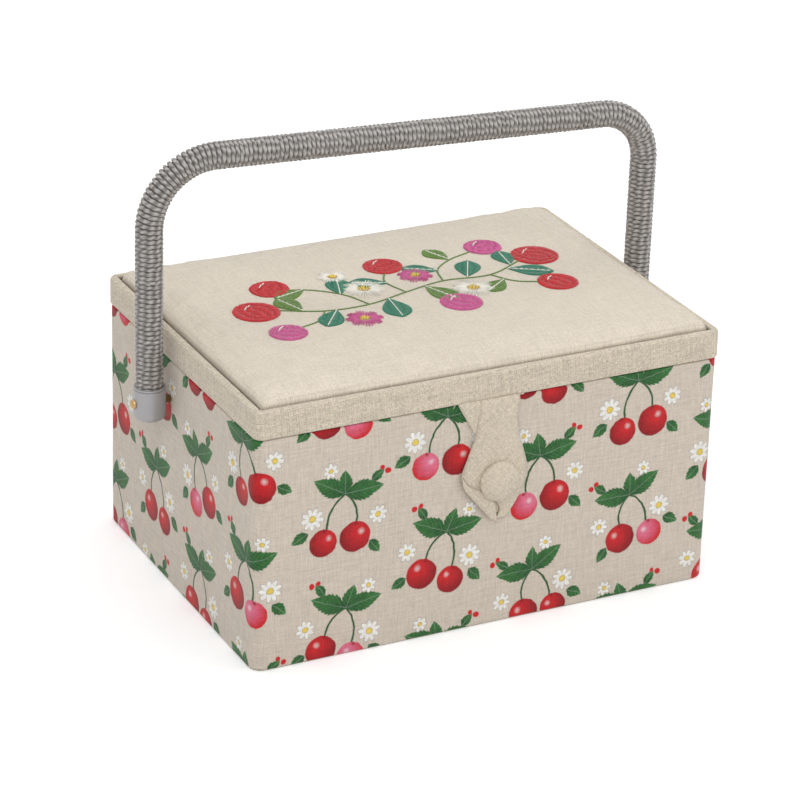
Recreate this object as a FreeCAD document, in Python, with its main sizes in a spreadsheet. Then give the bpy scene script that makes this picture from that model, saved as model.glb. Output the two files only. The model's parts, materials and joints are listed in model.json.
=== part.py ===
"""Fabric-covered sewing box with a padded lid, a cord-wrapped bail handle and a button clasp.

Millimetres, +Z up, origin in the middle of the underside, clasp side towards -Y.
"""
import FreeCAD
import Part
import Sketcher

import math
import os
import re

Vector = FreeCAD.Vector
Rotation = FreeCAD.Rotation
Placement = FreeCAD.Placement

SIZES = {
    # Box body
    "box_width": 255.0,
    "box_depth": 185.0,
    "seam_height": 123.5,
    "corner_radius": 7.0,
    "cover": 0.6,
    "board": 3.0,
    "base_sheet": 0.8,
    "hem_lift": 0.3,
    "lining": 2.0,
    # Sorting tray
    "tray_height": 28.0,
    "tray_wall": 1.6,
    "tray_floor": 1.6,
    "tray_drop": 1.5,
    "tray_clearance": 0.6,
    "tray_radius": 4.0,
    "finger_radius": 11.0,
    # Lid
    "seam_gap": 0.4,
    "lid_height": 15.0,
    "lid_radius": 5.0,
    "panel_drop": 3.0,
    "panel_gap": 0.8,
    "lid_card": 1.5,
    "pad_edge": 2.9,
    "crown": 6.5,
    "pad_draw": 0.8,
    # Inside of the lid
    "pincushion_length": 62.0,
    "pincushion_width": 84.0,
    "pincushion_height": 5.8,
    "pincushion_radius": 9.0,
    "pincushion_margin": 10.9,
    "pocket_margin": 11.9,
    "pocket_gap": 11.0,
    "pocket_front": 48.0,
    "pocket_back": 66.0,
    "pocket_cloth": 1.0,
    "elastic_radius": 1.2,
    # Back hinges
    "hinge_place": 78.0,
    "leaf_width": 26.0,
    "leaf_thickness": 1.0,
    "box_leaf_height": 14.0,
    "lid_leaf_height": 10.0,
    "knuckle_radius": 2.0,
    "middle_knuckle": 9.0,
    "knuckle_gap": 0.3,
    "hinge_stand": 2.4,
    "hinge_pin": 0.9,
    "pin_clearance": 0.05,
    # Handle
    "pivot_y": 10.8,
    "pivot_drop": 20.0,
    "handle_stand": 11.0,
    "handle_left_rise": 124.9,
    "handle_right_rise": 117.0,
    "left_bend": 34.0,
    "right_bend": 27.0,
    "strip_width": 7.0,
    "strip_thickness": 3.0,
    "wrap_radius": 7.0,
    "cord_radius": 1.0,
    "cord_pitch": 2.5,
    "cord_bed_gap": 0.3,
    "turns_lift": 4.0,
    "cap_radius": 8.2,
    "cap_clearance": 0.1,
    "cap_height": 18.0,
    "cap_floor": 1.6,
    "cap_slope": 2.6,
    "rivet_radius": 2.0,
    "rivet_head": 3.8,
    "rivet_rise": 1.7,
    "rivet_tail": 3.2,
    "tail_thickness": 0.8,
    "pivot_clearance": 0.05,
    "pivot_gap": 0.3,
    # Clasp
    "tab_thickness": 2.4,
    "clasp_gap": 0.3,
    "clasp_lift": 0.8,
    "anchor_inset": 1.0,
    "anchor_thickness": 1.2,
    "tab_top_left": 17.0,
    "tab_top_right": 16.5,
    "tab_waist_left": 9.5,
    "tab_waist_drop": 18.0,
    "tab_flare_left": 16.0,
    "tab_flare_right": 21.3,
    "tab_flare_drop": 39.0,
    "tab_turn_left": 14.5,
    "tab_turn_drop": 47.0,
    "tab_tip_left": 0.5,
    "tab_tip_right": 12.5,
    "tab_tip_drop": 66.0,
    "tab_corner": 3.0,
    "button_x": 2.5,
    "button_drop": 45.0,
    "button_radius": 11.0,
    "button_rise": 5.5,
    "button_slope": 3.6,
}

# Counts and shares: tray compartments in each column, flats round the winding, turns of cord on each leg,
# sides of the cord, the angle and climb of the turns' lead-in, the sections of a cushion along its length,
# the height of its ends and the flat top of a rivet's head
TRAY_ROWS = (2, 1, 2)
WRAP_FLATS = 16
CORD_TURNS = 3
CORD_SIDES = 6
CORD_LEAD_IN = math.radians(40)
LEAD_IN_CLIMB = 1.3
STATIONS = (-1.0, 0.0, 1.0)
END_CROWN = 0.04
HEAD_FLAT = 0.6

# Formulas of the sizes above that more than one piece uses
CARCASS_WIDTH = "(box_width - 2 * cover)"
CARCASS_DEPTH = "(box_depth - 2 * cover)"
INNER_WIDTH = "(box_width - 2 * cover - 2 * board)"
INNER_DEPTH = "(box_depth - 2 * cover - 2 * board)"
BASE_TOP = "(base_sheet + board)"
FLOOR = "(base_sheet + board + lining)"
WALL_TOP = "(seam_height - cover)"
LEDGE = "(seam_height - tray_drop - tray_height)"
TRAY_WIDTH = "(box_width - 2 * cover - 2 * board - 2 * tray_clearance)"
TRAY_DEPTH = "(box_depth - 2 * cover - 2 * board - 2 * tray_clearance)"
LID_LOW = "(seam_height + seam_gap)"
RIM_TOP = "(seam_height + lid_height)"
PANEL_TOP = "(seam_height + lid_height - panel_drop)"
LID_CARD_TOP = "(seam_height + lid_height - panel_drop - board)"
LID_CARD_LOW = "(seam_height + lid_height - panel_drop - board - lid_card)"
HINGE_Y = "(box_depth / 2 + hinge_stand)"
HINGE_Z = "(seam_height + seam_gap / 2)"
KNUCKLE_REACH = "(knuckle_radius + knuckle_gap)"
PINCUSHION_LEFT = "(box_width / 2 - cover - board - pincushion_margin - pincushion_length)"
POCKET_LEFT = "(cover + board + pocket_margin - box_width / 2)"
PIVOT_Z = "(seam_height - pivot_drop)"
HALF_SPAN = "(box_width / 2 + handle_stand)"
LEG_LOW = "(rivet_radius + pivot_clearance + cap_floor)"
CLASP_Y = "(-box_depth / 2 - clasp_gap - tab_thickness / 2)"
CLASP_Z = "(seam_height + seam_gap + clasp_lift)"
BUTTON_Z = "(seam_height - button_drop)"

doc = FreeCAD.newDocument("sewing_box")
sheet = doc.addObject("Spreadsheet::Sheet", "sizes")
for row, (alias, amount) in enumerate(SIZES.items(), start=1):
    sheet.set(f"A{row}", alias)
    sheet.set(f"B{row}", str(amount))
    sheet.setAlias(f"B{row}", alias)
doc.recompute()

WORD = re.compile(r"[a-z][a-z_]*")
TURN = {
    "+X": Rotation(Vector(0, 1, 0), 90),
    "-X": Rotation(Vector(0, 1, 0), -90),
    "+Y": Rotation(Vector(1, 0, 0), -90),
    "-Y": Rotation(Vector(1, 0, 0), 90),
    "+Z": Rotation(),
}
nodes = []


def size(alias):
    """The number in the sheet under an alias."""
    return float(sheet.get(alias))


def bound(formula):
    """A formula in bare size names, as an expression on the sheet."""
    return WORD.sub(lambda word: "sizes." + word[0] if word[0] in SIZES else word[0], formula)


def node(piece):
    """Mark a finished piece as one of the object's separate parts."""
    nodes.append(piece)
    return piece


def place(piece, x="0", y="0", z="0"):
    """Tie a piece's position to formulas."""
    for axis, formula in zip("xyz", (x, y, z)):
        piece.setExpression("Placement.Base." + axis, bound(formula))
    return piece


def block(name, x, y, z):
    """A block between the low and the high formula of each axis."""
    piece = doc.addObject("Part::Box", name)
    for side, (low, high) in zip(("Length", "Width", "Height"), (x, y, z)):
        piece.setExpression(side, bound(f"({high}) - ({low})"))
    return place(piece, x[0], y[0], z[0])


def rod(name, direction, radius, length, x, y, z):
    """A round rod that starts at x, y, z and runs in one direction."""
    piece = doc.addObject("Part::Cylinder", name)
    piece.setExpression("Radius", bound(radius))
    piece.setExpression("Height", bound(length))
    piece.Placement = Placement(Vector(), TURN[direction])
    return place(piece, x, y, z)


def group(name, pieces):
    """Several separate solids under one name."""
    piece = doc.addObject("Part::Compound", name)
    piece.Links = list(pieces)
    return piece


def cut(name, base, *tools):
    """A piece with other pieces taken out of it."""
    piece = doc.addObject("Part::Cut", name)
    piece.Base = base
    piece.Tool = tools[0] if len(tools) == 1 else group(name + "_tools", tools)
    return piece


def fuse(name, *pieces):
    """Pieces joined into one."""
    piece = doc.addObject("Part::MultiFuse", name)
    piece.Shapes = list(pieces)
    return piece


def common(name, base, tool):
    """What two pieces share."""
    piece = doc.addObject("Part::Common", name)
    piece.Base = base
    piece.Tool = tool
    return piece


def sketch_on(body, plane, lift="0"):
    """A sketch on one of a body's own planes, lifted along the plane's normal."""
    sketch = body.newObject("Sketcher::SketchObject", body.Name + "_sketch")
    support = next(item for item in body.Origin.OriginFeatures if item.Role == plane)
    sketch.AttachmentSupport = (support, [""])
    sketch.MapMode = "FlatFace"
    sketch.setExpression("AttachmentOffset.Base.z", bound(lift))
    return sketch


def dimension(sketch, formula, kind, *where):
    """Add a dimension at its drawn value and tie it to a formula."""
    index = sketch.addConstraint(Sketcher.Constraint(kind, *where))
    sketch.setExpression(f"Constraints[{index}]", bound(formula))


def join(sketch, kind, *where):
    """Add a constraint that has no number."""
    sketch.addConstraint(Sketcher.Constraint(kind, *where))


def rounded_rectangle(sketch, left, right, front, back, radius):
    """A rectangle with four round corners, its sides and radius tied to formulas."""
    draw_x, draw_y, draw_r = 50, 40, 5
    first = sketch.GeometryCount
    sides = (
        ((draw_r - draw_x, -draw_y), (draw_x - draw_r, -draw_y)),
        ((draw_x, draw_r - draw_y), (draw_x, draw_y - draw_r)),
        ((draw_x - draw_r, draw_y), (draw_r - draw_x, draw_y)),
        ((-draw_x, draw_y - draw_r), (-draw_x, draw_r - draw_y)),
    )
    centres = ((1, -1), (1, 1), (-1, 1), (-1, -1))
    for quarter, ((start, end), (sign_x, sign_y)) in enumerate(zip(sides, centres)):
        sketch.addGeometry(Part.LineSegment(Vector(*start), Vector(*end)))
        centre = Vector(sign_x * (draw_x - draw_r), sign_y * (draw_y - draw_r))
        circle = Part.Circle(centre, Vector(0, 0, 1), draw_r)
        turn = (quarter - 1) * math.pi / 2
        sketch.addGeometry(Part.ArcOfCircle(circle, turn, turn + math.pi / 2))
    for quarter in range(4):
        line = first + 2 * quarter
        join(sketch, "Tangent", line, 2, line + 1, 1)
        join(sketch, "Tangent", line + 1, 2, first + (2 * quarter + 2) % 8, 1)
        join(sketch, "Vertical" if quarter % 2 else "Horizontal", line)
        if quarter:
            join(sketch, "Equal", first + 1, line + 1)
    dimension(sketch, radius, "Radius", first + 1, draw_r)
    dimension(sketch, left, "DistanceX", -1, 1, first + 6, 1, -draw_x)
    dimension(sketch, right, "DistanceX", -1, 1, first + 2, 1, draw_x)
    dimension(sketch, front, "DistanceY", -1, 1, first, 1, -draw_y)
    dimension(sketch, back, "DistanceY", -1, 1, first + 4, 1, draw_y)


def polygon(sketch, corners):
    """A closed outline with straight sides, each corner tied to two formulas."""
    count = len(corners)
    angles = [2 * math.pi * step / count for step in range(count)]
    drawn = [Vector(math.cos(angle), math.sin(angle)) for angle in angles]
    for step in range(count):
        sketch.addGeometry(Part.LineSegment(drawn[step], drawn[(step + 1) % count]))
    for step, (x, y) in enumerate(corners):
        join(sketch, "Coincident", step, 2, (step + 1) % count, 1)
        dimension(sketch, x, "DistanceX", -1, 1, step, 1, drawn[step].x)
        dimension(sketch, y, "DistanceY", -1, 1, step, 1, drawn[step].y)


def pad(body, sketch, length):
    """Raise a sketch into a solid."""
    feature = body.newObject("PartDesign::Pad", body.Name + "_pad")
    feature.Profile = sketch
    feature.setExpression("Length", bound(length))
    return feature


def rounded_edges(body, feature, radius, chosen):
    """Round the edges of a feature for which chosen is true."""
    doc.recompute()
    edges = [f"Edge{index}" for index, edge in enumerate(feature.Shape.Edges, start=1) if chosen(edge)]
    fillet = body.newObject("PartDesign::Fillet", body.Name + "_fillet")
    fillet.Base = (feature, edges)
    fillet.setExpression("Radius", bound(radius))
    return fillet


def prism(name, width, depth, radius, low, high):
    """An upright plate with rounded corners, centred on the Z axis."""
    body = doc.addObject("PartDesign::Body", name)
    sketch = sketch_on(body, "XY_Plane", low)
    half_x, half_y = f"({width}) / 2", f"({depth}) / 2"
    rounded_rectangle(sketch, f"-{half_x}", half_x, f"-{half_y}", half_y, radius)
    pad(body, sketch, f"({high}) - ({low})")
    return body


def turned(name, direction, corners, x, y, z):
    """A turned piece: a half profile of (radius, height) corners revolved about its own axis."""
    body = doc.addObject("PartDesign::Body", name)
    sketch = sketch_on(body, "XZ_Plane")
    polygon(sketch, corners)
    feature = body.newObject("PartDesign::Revolution", name + "_turn")
    feature.Profile = sketch
    feature.ReferenceAxis = (sketch, ["V_Axis"])
    body.Placement = Placement(Vector(), TURN[direction])
    return place(body, x, y, z)


# Base, walls and their covers
node(prism("base_sheet", CARCASS_WIDTH, CARCASS_DEPTH, "corner_radius - cover", "0", "base_sheet"))
node(prism("base_board", CARCASS_WIDTH, CARCASS_DEPTH, "corner_radius - cover", "base_sheet", BASE_TOP))


def board_frame(names, outline, low, high, width, depth):
    """Four boards of one rounded outline: front and back run through, left and right fit between."""
    tall = (low, high)
    out_x, out_y = f"{width} / 2", f"{depth} / 2"
    in_x, in_y = f"({out_x} - board)", f"({out_y} - board)"
    spans = (
        ((f"-{out_x}", out_x), (f"-{out_y}", f"-{in_y}")),
        ((f"-{out_x}", out_x), (in_y, out_y)),
        ((f"-{out_x}", f"-{in_x}"), (f"-{in_y}", in_y)),
        ((in_x, out_x), (f"-{in_y}", in_y)),
    )
    return [
        common(name, outline, block(name + "_block", x, y, tall)) for name, (x, y) in zip(names, spans)
    ]


walls = board_frame(
    ("front_wall", "back_wall", "left_wall", "right_wall"),
    prism("carcass", CARCASS_WIDTH, CARCASS_DEPTH, "corner_radius - cover", BASE_TOP, WALL_TOP),
    BASE_TOP, WALL_TOP, CARCASS_WIDTH, CARCASS_DEPTH,
)
inside = block(
    "box_inside",
    (f"-{INNER_WIDTH} / 2", f"{INNER_WIDTH} / 2"),
    (f"-{INNER_DEPTH} / 2", f"{INNER_DEPTH} / 2"),
    ("0", "seam_height"),
)
side_skin = cut(
    "side_skin",
    prism("side_outline", "box_width", "box_depth", "corner_radius", "hem_lift", "seam_height"),
    prism("side_filling", CARCASS_WIDTH, CARCASS_DEPTH, "corner_radius - cover", "0", WALL_TOP),
    inside,
)

# Linings of the base and the walls; their top edges carry the tray
half_x, half_y = f"{INNER_WIDTH} / 2", f"{INNER_DEPTH} / 2"
lined_y = f"({half_y} - lining)"
node(block("base_lining", (f"-{half_x}", half_x), (f"-{half_y}", half_y), (BASE_TOP, FLOOR)))
node(block("front_lining", (f"-{half_x}", half_x), (f"-{half_y}", f"-{lined_y}"), (FLOOR, LEDGE)))
node(block("back_lining", (f"-{half_x}", half_x), (lined_y, half_y), (FLOOR, LEDGE)))
node(block("left_lining", (f"-{half_x}", f"lining - {half_x}"), (f"-{lined_y}", lined_y), (FLOOR, LEDGE)))
node(block("right_lining", (f"{half_x} - lining", half_x), (f"-{lined_y}", lined_y), (FLOOR, LEDGE)))


def tray_cells():
    """Left, right, front and back formulas of each compartment, column by column."""
    columns = len(TRAY_ROWS)
    wide = f"(({TRAY_WIDTH} - {columns + 1} * tray_wall) / {columns})"
    for column, rows in enumerate(TRAY_ROWS):
        left = f"(tray_wall - {TRAY_WIDTH} / 2 + {column} * ({wide} + tray_wall))"
        deep = f"(({TRAY_DEPTH} - {rows + 1} * tray_wall) / {rows})"
        for row in range(rows):
            front = f"(tray_wall - {TRAY_DEPTH} / 2 + {row} * ({deep} + tray_wall))"
            yield left, f"{left} + {wide}", front, f"{front} + {deep}"


def make_tray():
    """A moulded tray: a round-cornered block, its sunk compartments and a finger notch in each end wall."""
    top = f"{LEDGE} + tray_height"
    body = prism("tray_block", TRAY_WIDTH, TRAY_DEPTH, "tray_radius", LEDGE, top)
    sketch = sketch_on(body, "XY_Plane", top)
    for cell in tray_cells():
        rounded_rectangle(sketch, *cell, "tray_radius - tray_wall")
    pocket = body.newObject("PartDesign::Pocket", "tray_cells")
    pocket.Profile = sketch
    pocket.setExpression("Length", bound("tray_height - tray_floor"))
    doc.recompute()
    sunk = pocket.BaseFeature.Shape.Volume - pocket.Shape.Volume
    print(f"tray compartments hold {sunk / 1000:.0f} cubic centimetres")
    notches = [
        rod(f"finger_notch_{start}", f"{start}X", "finger_radius", "2 * tray_wall",
            f"{start}({TRAY_WIDTH} / 2 - 1.5 * tray_wall)", "0", top)
        for start in "-+"
    ]
    return cut("sorting_tray", body, *notches)


node(make_tray())

# Handle pivots: rivets through the end caps and the side walls
rivet_pieces = []
for side, sign in (("left", "-"), ("right", "+")):
    wall_inside = f"{INNER_WIDTH} / 2"
    under_head = f"({HALF_SPAN} + cap_radius + pivot_gap)"
    rivet_pieces.append(turned(
        f"rivet_{side}", sign + "X",
        (
            ("0", wall_inside),
            ("rivet_tail", wall_inside),
            ("rivet_tail", f"{wall_inside} + tail_thickness"),
            ("rivet_radius", f"{wall_inside} + tail_thickness"),
            ("rivet_radius", under_head),
            ("rivet_head", under_head),
            (f"{HEAD_FLAT} * rivet_head", f"{under_head} + rivet_rise"),
            ("0", f"{under_head} + rivet_rise"),
        ),
        "0", "pivot_y", PIVOT_Z,
    ))

rivets = node(group("pivot_rivets", rivet_pieces))

# Back hinges: each leaf carries its own knuckles on a common pin
leaf_base = "box_depth / 2"
box_leaves, lid_leaves, pins = [], [], []
for side, sign in (("left", "-"), ("right", "+")):
    middle = f"({sign}hinge_place)"
    ends = (f"{middle} - leaf_width / 2", f"{middle} + leaf_width / 2")
    inner = (f"{middle} - middle_knuckle / 2", f"{middle} + middle_knuckle / 2")
    outer = ((ends[0], f"{inner[0]} - knuckle_gap"), (f"{inner[1]} + knuckle_gap", ends[1]))
    thick = (leaf_base, f"{leaf_base} + leaf_thickness")
    pins.append(rod(f"hinge_pin_{side}", "+X", "hinge_pin", "leaf_width", ends[0], HINGE_Y, HINGE_Z))
    bore = rod(
        f"hinge_bore_{side}", "+X", "hinge_pin + pin_clearance", "leaf_width", ends[0], HINGE_Y, HINGE_Z
    )
    plates = (
        (box_leaves, "box", outer, "-", "box_leaf_height"),
        (lid_leaves, "lid", (inner,), "+", "lid_leaf_height"),
    )
    for leaves, owner, spans, away, tall in plates:
        name = f"hinge_{owner}_{side}"
        near, far = f"{HINGE_Z} {away} {KNUCKLE_REACH}", f"{HINGE_Z} {away} ({KNUCKLE_REACH} + {tall})"
        pieces = [block(name + "_plate", ends, thick, (far, near) if away == "-" else (near, far))]
        for order, (low, high) in enumerate(spans):
            neck = (near, HINGE_Z) if away == "-" else (HINGE_Z, near)
            pieces.append(block(f"{name}_neck_{order}", (low, high), thick, neck))
            length = f"({high}) - ({low})"
            knuckle = f"{name}_knuckle_{order}"
            pieces.append(rod(knuckle, "+X", "knuckle_radius", length, low, HINGE_Y, HINGE_Z))
        leaves.append(cut(name, fuse(name + "_solid", *pieces), bore))

node(group("hinge_pins", pins))
node(group("hinge_box_leaves", box_leaves))
node(group("hinge_lid_leaves", lid_leaves))

# Clasp: a folded tab that hangs from a strip under the lid's front rim
button_face = "(-box_depth / 2 - clasp_gap - tab_thickness)"
anchor = node(block(
    "clasp_anchor",
    ("anchor_inset - tab_top_left", "tab_top_right - anchor_inset"),
    ("-box_depth / 2", "cover + board - box_depth / 2"),
    (LID_LOW, f"{LID_LOW} + anchor_thickness"),
))


def make_tab():
    """The tab: a waist, a flare at the button and a blunt tip in outline, hung on a round fold."""
    body = doc.addObject("PartDesign::Body", "tab_sheet")
    sketch = sketch_on(body, "XZ_Plane", "box_depth / 2 + clasp_gap")
    below = {drop: f"seam_height - {drop}" for drop in
             ("tab_waist_drop", "tab_flare_drop", "tab_turn_drop", "tab_tip_drop")}
    polygon(sketch, (
        ("-tab_top_left", CLASP_Z),
        ("-tab_waist_left", below["tab_waist_drop"]),
        ("-tab_flare_left", below["tab_flare_drop"]),
        ("-tab_turn_left", below["tab_turn_drop"]),
        ("tab_tip_left", below["tab_tip_drop"]),
        ("tab_tip_right", below["tab_tip_drop"]),
        ("tab_flare_right", below["tab_turn_drop"]),
        ("tab_flare_right", below["tab_flare_drop"]),
        ("tab_top_right", below["tab_waist_drop"]),
        ("tab_top_right", CLASP_Z),
    ))
    feature = pad(body, sketch, "tab_thickness")

    def across(edge):
        """Whether an edge crosses the tab's thickness below the fold."""
        start, end = (vertex.Point for vertex in edge.Vertexes)
        return abs(start.y - end.y) > 0.5 * size("tab_thickness") and start.z < size("seam_height")

    rounded_edges(body, feature, "tab_corner", across)
    width = "tab_top_left + tab_top_right"
    fold = rod("tab_fold", "+X", "tab_thickness / 2", width, "-tab_top_left", CLASP_Y, CLASP_Z)
    return fuse("clasp_tab", body, fold)


node(make_tab())
node(turned(
    "clasp_button", "-Y",
    (
        ("0", "0"),
        ("button_radius", "0"),
        ("button_radius", "button_rise - button_slope"),
        ("button_radius - button_slope", "button_rise"),
        ("0", "button_rise"),
    ),
    "button_x", button_face, BUTTON_Z,
))

# Wall boards and side cover, opened for what passes through them
front_wall, back_wall, left_wall, right_wall = walls
node(front_wall).Label = "front_board"
node(back_wall).Label = "back_board"
node(cut("left_board", left_wall, rivets))
node(cut("right_board", right_wall, rivets))
node(cut("side_cover", side_skin, rivets))

# Lid: a frame of rim boards in its own cover, with an inset padded panel
lid_span = (f"{LID_LOW} + cover", f"{RIM_TOP} - cover")
rims = board_frame(
    ("front_rim", "back_rim", "left_rim", "right_rim"),
    prism("lid_carcass", CARCASS_WIDTH, CARCASS_DEPTH, "lid_radius - cover", *lid_span),
    *lid_span, CARCASS_WIDTH, CARCASS_DEPTH,
)
node(cut("lid_rim_front", rims[0], anchor))
for name, rim in zip(("lid_rim_back", "lid_rim_left", "lid_rim_right"), rims[1:]):
    node(rim).Label = name
lid_opening = block(
    "lid_opening",
    (f"-{INNER_WIDTH} / 2", f"{INNER_WIDTH} / 2"),
    (f"-{INNER_DEPTH} / 2", f"{INNER_DEPTH} / 2"),
    (LID_LOW, RIM_TOP),
)
lid_outline = prism("lid_outline", "box_width", "box_depth", "lid_radius", LID_LOW, RIM_TOP)
node(cut("lid_band_cover", lid_outline, lid_opening, *rims, anchor))

panel_x, panel_y = f"({INNER_WIDTH} / 2 - panel_gap)", f"({INNER_DEPTH} / 2 - panel_gap)"
node(block("lid_board", (f"-{panel_x}", panel_x), (f"-{panel_y}", panel_y), (LID_CARD_TOP, PANEL_TOP)))
node(block("lid_lining", (f"-{half_x}", half_x), (f"-{half_y}", half_y), (LID_CARD_LOW, LID_CARD_TOP)))


def cushion(length, width, edge, crown, draw):
    """A crowned cushion on a flat bed: arcs across it, highest and most drawn in at the middle."""
    sections = []
    for station in STATIONS:
        share = 1 - station ** 2
        x, half = station * length / 2, width / 2 - draw * share
        top = edge + crown * (END_CROWN + (1 - END_CROWN) * share)
        corners = [Vector(x, -half, 0), Vector(x, half, 0), Vector(x, half, edge), Vector(x, -half, edge)]
        sides = [Part.LineSegment(corners[step], corners[step + 1]) for step in range(2)]
        sides.append(Part.Arc(corners[2], Vector(x, 0, top), corners[3]))
        sides.append(Part.LineSegment(corners[3], corners[0]))
        sections.append(Part.Wire([side.toShape() for side in sides]))
    return Part.makeLoft(sections, True)


rim_inset = 2 * (size("cover") + size("board") + size("panel_gap"))
lid_cushion = node(doc.addObject("Part::Feature", "lid_cushion"))
lid_cushion.Shape = cushion(
    size("box_width") - rim_inset, size("box_depth") - rim_inset, size("pad_edge"),
    size("panel_drop") + size("crown") - size("pad_edge"), size("pad_draw"),
)
place(lid_cushion, z=PANEL_TOP)
pincushion = node(prism(
    "pincushion", "pincushion_length", "pincushion_width", "pincushion_radius",
    f"{LID_CARD_LOW} - pincushion_height", LID_CARD_LOW,
))
place(pincushion, x=f"{PINCUSHION_LEFT} + pincushion_length / 2")

# Gathered pocket inside the lid, with an elastic in its front hem
pocket_right = f"({PINCUSHION_LEFT} - pocket_gap)"
node(block(
    "lid_pocket", (POCKET_LEFT, pocket_right), ("-pocket_front", "pocket_back"),
    (f"{LID_CARD_LOW} - pocket_cloth", LID_CARD_LOW),
))
node(rod(
    "pocket_elastic", "+X", "elastic_radius", f"{pocket_right} - {POCKET_LEFT}",
    POCKET_LEFT, "-pocket_front - elastic_radius", f"{LID_CARD_LOW} - elastic_radius",
))


# Handle: a bent strip, its wound cord and a metal cup on each end
def handle_bar(name, draw_section):
    """A bar bent along the handle's line, up one leg, across and down the other; its section is drawn."""
    body = doc.addObject("PartDesign::Body", name)
    path = sketch_on(body, "XZ_Plane")
    draw_x, draw_z, draw_r = 60, 80, 20
    bend_z = draw_z - draw_r
    left_bend = Part.Circle(Vector(draw_r - draw_x, bend_z), Vector(0, 0, 1), draw_r)
    right_bend = Part.Circle(Vector(draw_x - draw_r, bend_z), Vector(0, 0, 1), draw_r)
    path.addGeometry(Part.LineSegment(Vector(-draw_x, 0), Vector(-draw_x, bend_z)))
    path.addGeometry(Part.ArcOfCircle(left_bend, math.pi / 2, math.pi))
    path.addGeometry(Part.LineSegment(Vector(draw_r - draw_x, draw_z), Vector(draw_x - draw_r, draw_z)))
    path.addGeometry(Part.ArcOfCircle(right_bend, 0, math.pi / 2))
    path.addGeometry(Part.LineSegment(Vector(draw_x, bend_z), Vector(draw_x, 0)))
    join(path, "Tangent", 0, 2, 1, 2)
    join(path, "Tangent", 1, 1, 2, 1)
    join(path, "Tangent", 2, 2, 3, 2)
    join(path, "Tangent", 3, 1, 4, 1)
    join(path, "Vertical", 0)
    join(path, "Vertical", 4)
    dimension(path, "left_bend", "Radius", 1, draw_r)
    dimension(path, "right_bend", "Radius", 3, draw_r)
    dimension(path, f"-{HALF_SPAN}", "DistanceX", -1, 1, 0, 1, -draw_x)
    dimension(path, HALF_SPAN, "DistanceX", -1, 1, 4, 2, draw_x)
    dimension(path, LEG_LOW, "DistanceY", -1, 1, 0, 1, 0)
    dimension(path, LEG_LOW, "DistanceY", -1, 1, 4, 2, 0)
    dimension(path, "handle_left_rise", "DistanceY", -1, 1, 2, 1, draw_z)
    dimension(path, "handle_right_rise", "DistanceY", -1, 1, 2, 2, draw_z)
    section = sketch_on(body, "XY_Plane", LEG_LOW)
    draw_section(section)
    pipe = body.newObject("PartDesign::AdditivePipe", name + "_pipe")
    pipe.Profile = section
    pipe.Spine = (path, [f"Edge{number}" for number in range(1, 6)])
    return place(body, "0", "pivot_y", PIVOT_Z)


def biarc(start, leave, end, arrive):
    """Two arcs, tangent where they meet, from one point and direction to another."""
    chord, spread = end - start, leave + arrive
    slack = 2 * (1 - leave.dot(arrive))
    reach = (math.sqrt(chord.dot(spread) ** 2 + slack * chord.dot(chord)) - chord.dot(spread)) / slack
    middle = (start + end + (leave - arrive) * reach) * 0.5
    arcs = []
    for first, last, corner in ((start, middle, start + leave * reach), (middle, end, end - arrive * reach)):
        half = (last - first).getAngle(corner - first)
        weight = math.cos(half)
        crest = (first + corner * (2 * weight) + last) * (0.5 / (1 + weight))
        arcs.append(Part.Arc(first, crest, last).toShape())
    return arcs


def cord_turns():
    """The centre line of the turns: a helix with upright ends, as straight ends and biarcs of a half turn."""
    thick, pitch = 2 * size("cord_radius"), size("cord_pitch")
    radius = size("wrap_radius") - size("cord_radius")
    slope = pitch / (2 * math.pi * radius)
    first_height = thick * (1 + LEAD_IN_CLIMB)

    def on_helix(angle):
        """Point and direction on the winding at an angle from its start."""
        height = first_height + pitch * (angle - CORD_LEAD_IN) / (2 * math.pi)
        along = Vector(-math.sin(angle), math.cos(angle), slope).normalize()
        return Vector(radius * math.cos(angle), radius * math.sin(angle), height), along

    whole = 2 * math.pi * CORD_TURNS - 2 * CORD_LEAD_IN
    halves = round(whole / math.pi)
    marks = [on_helix(CORD_LEAD_IN + whole * step / halves) for step in range(halves + 1)]
    upright = Vector(0, 0, 1)
    foot = Vector(radius, 0, 0)
    top = Vector(radius, 0, marks[-1][0].z + first_height)
    marks = [(foot + upright * thick, upright)] + marks + [(top - upright * thick, upright)]
    edges = [Part.LineSegment(foot, marks[0][0]).toShape()]
    for (start, leave), (end, arrive) in zip(marks, marks[1:]):
        edges.extend(biarc(start, leave, end, arrive))
    edges.append(Part.LineSegment(marks[-1][0], top).toShape())
    return Part.Wire(edges)


def least_gap(line, thick):
    """The least clear distance between stretches of a round cord that lie over a third of a turn apart."""
    turn_points = 60
    points = line.discretize(Number=turn_points * CORD_TURNS)
    apart = turn_points // 3
    return min(
        points[low].distanceToPoint(points[high])
        for low in range(len(points)) for high in range(low + apart, len(points))
    ) - thick


strip_faces = [f"{sign} strip_thickness / 2 - {HALF_SPAN}" for sign in "-+"]
strip_edges = [f"{sign} strip_width / 2" for sign in "-+"]
strip_corners = [(strip_faces[x], strip_edges[y]) for x, y in ((0, 0), (1, 0), (1, 1), (0, 1))]
core_bar = handle_bar("core_bar", lambda section: polygon(section, strip_corners))
wrap_angles = [2 * math.pi * (step + 0.5) / WRAP_FLATS for step in range(WRAP_FLATS)]
wrap_corners = [
    (f"{math.cos(angle):.6f} * wrap_radius - {HALF_SPAN}", f"{math.sin(angle):.6f} * wrap_radius")
    for angle in wrap_angles
]
wrap_bar = handle_bar("wrap_bar", lambda section: polygon(section, wrap_corners))
node(core_bar).Label = "handle_core"

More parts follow.
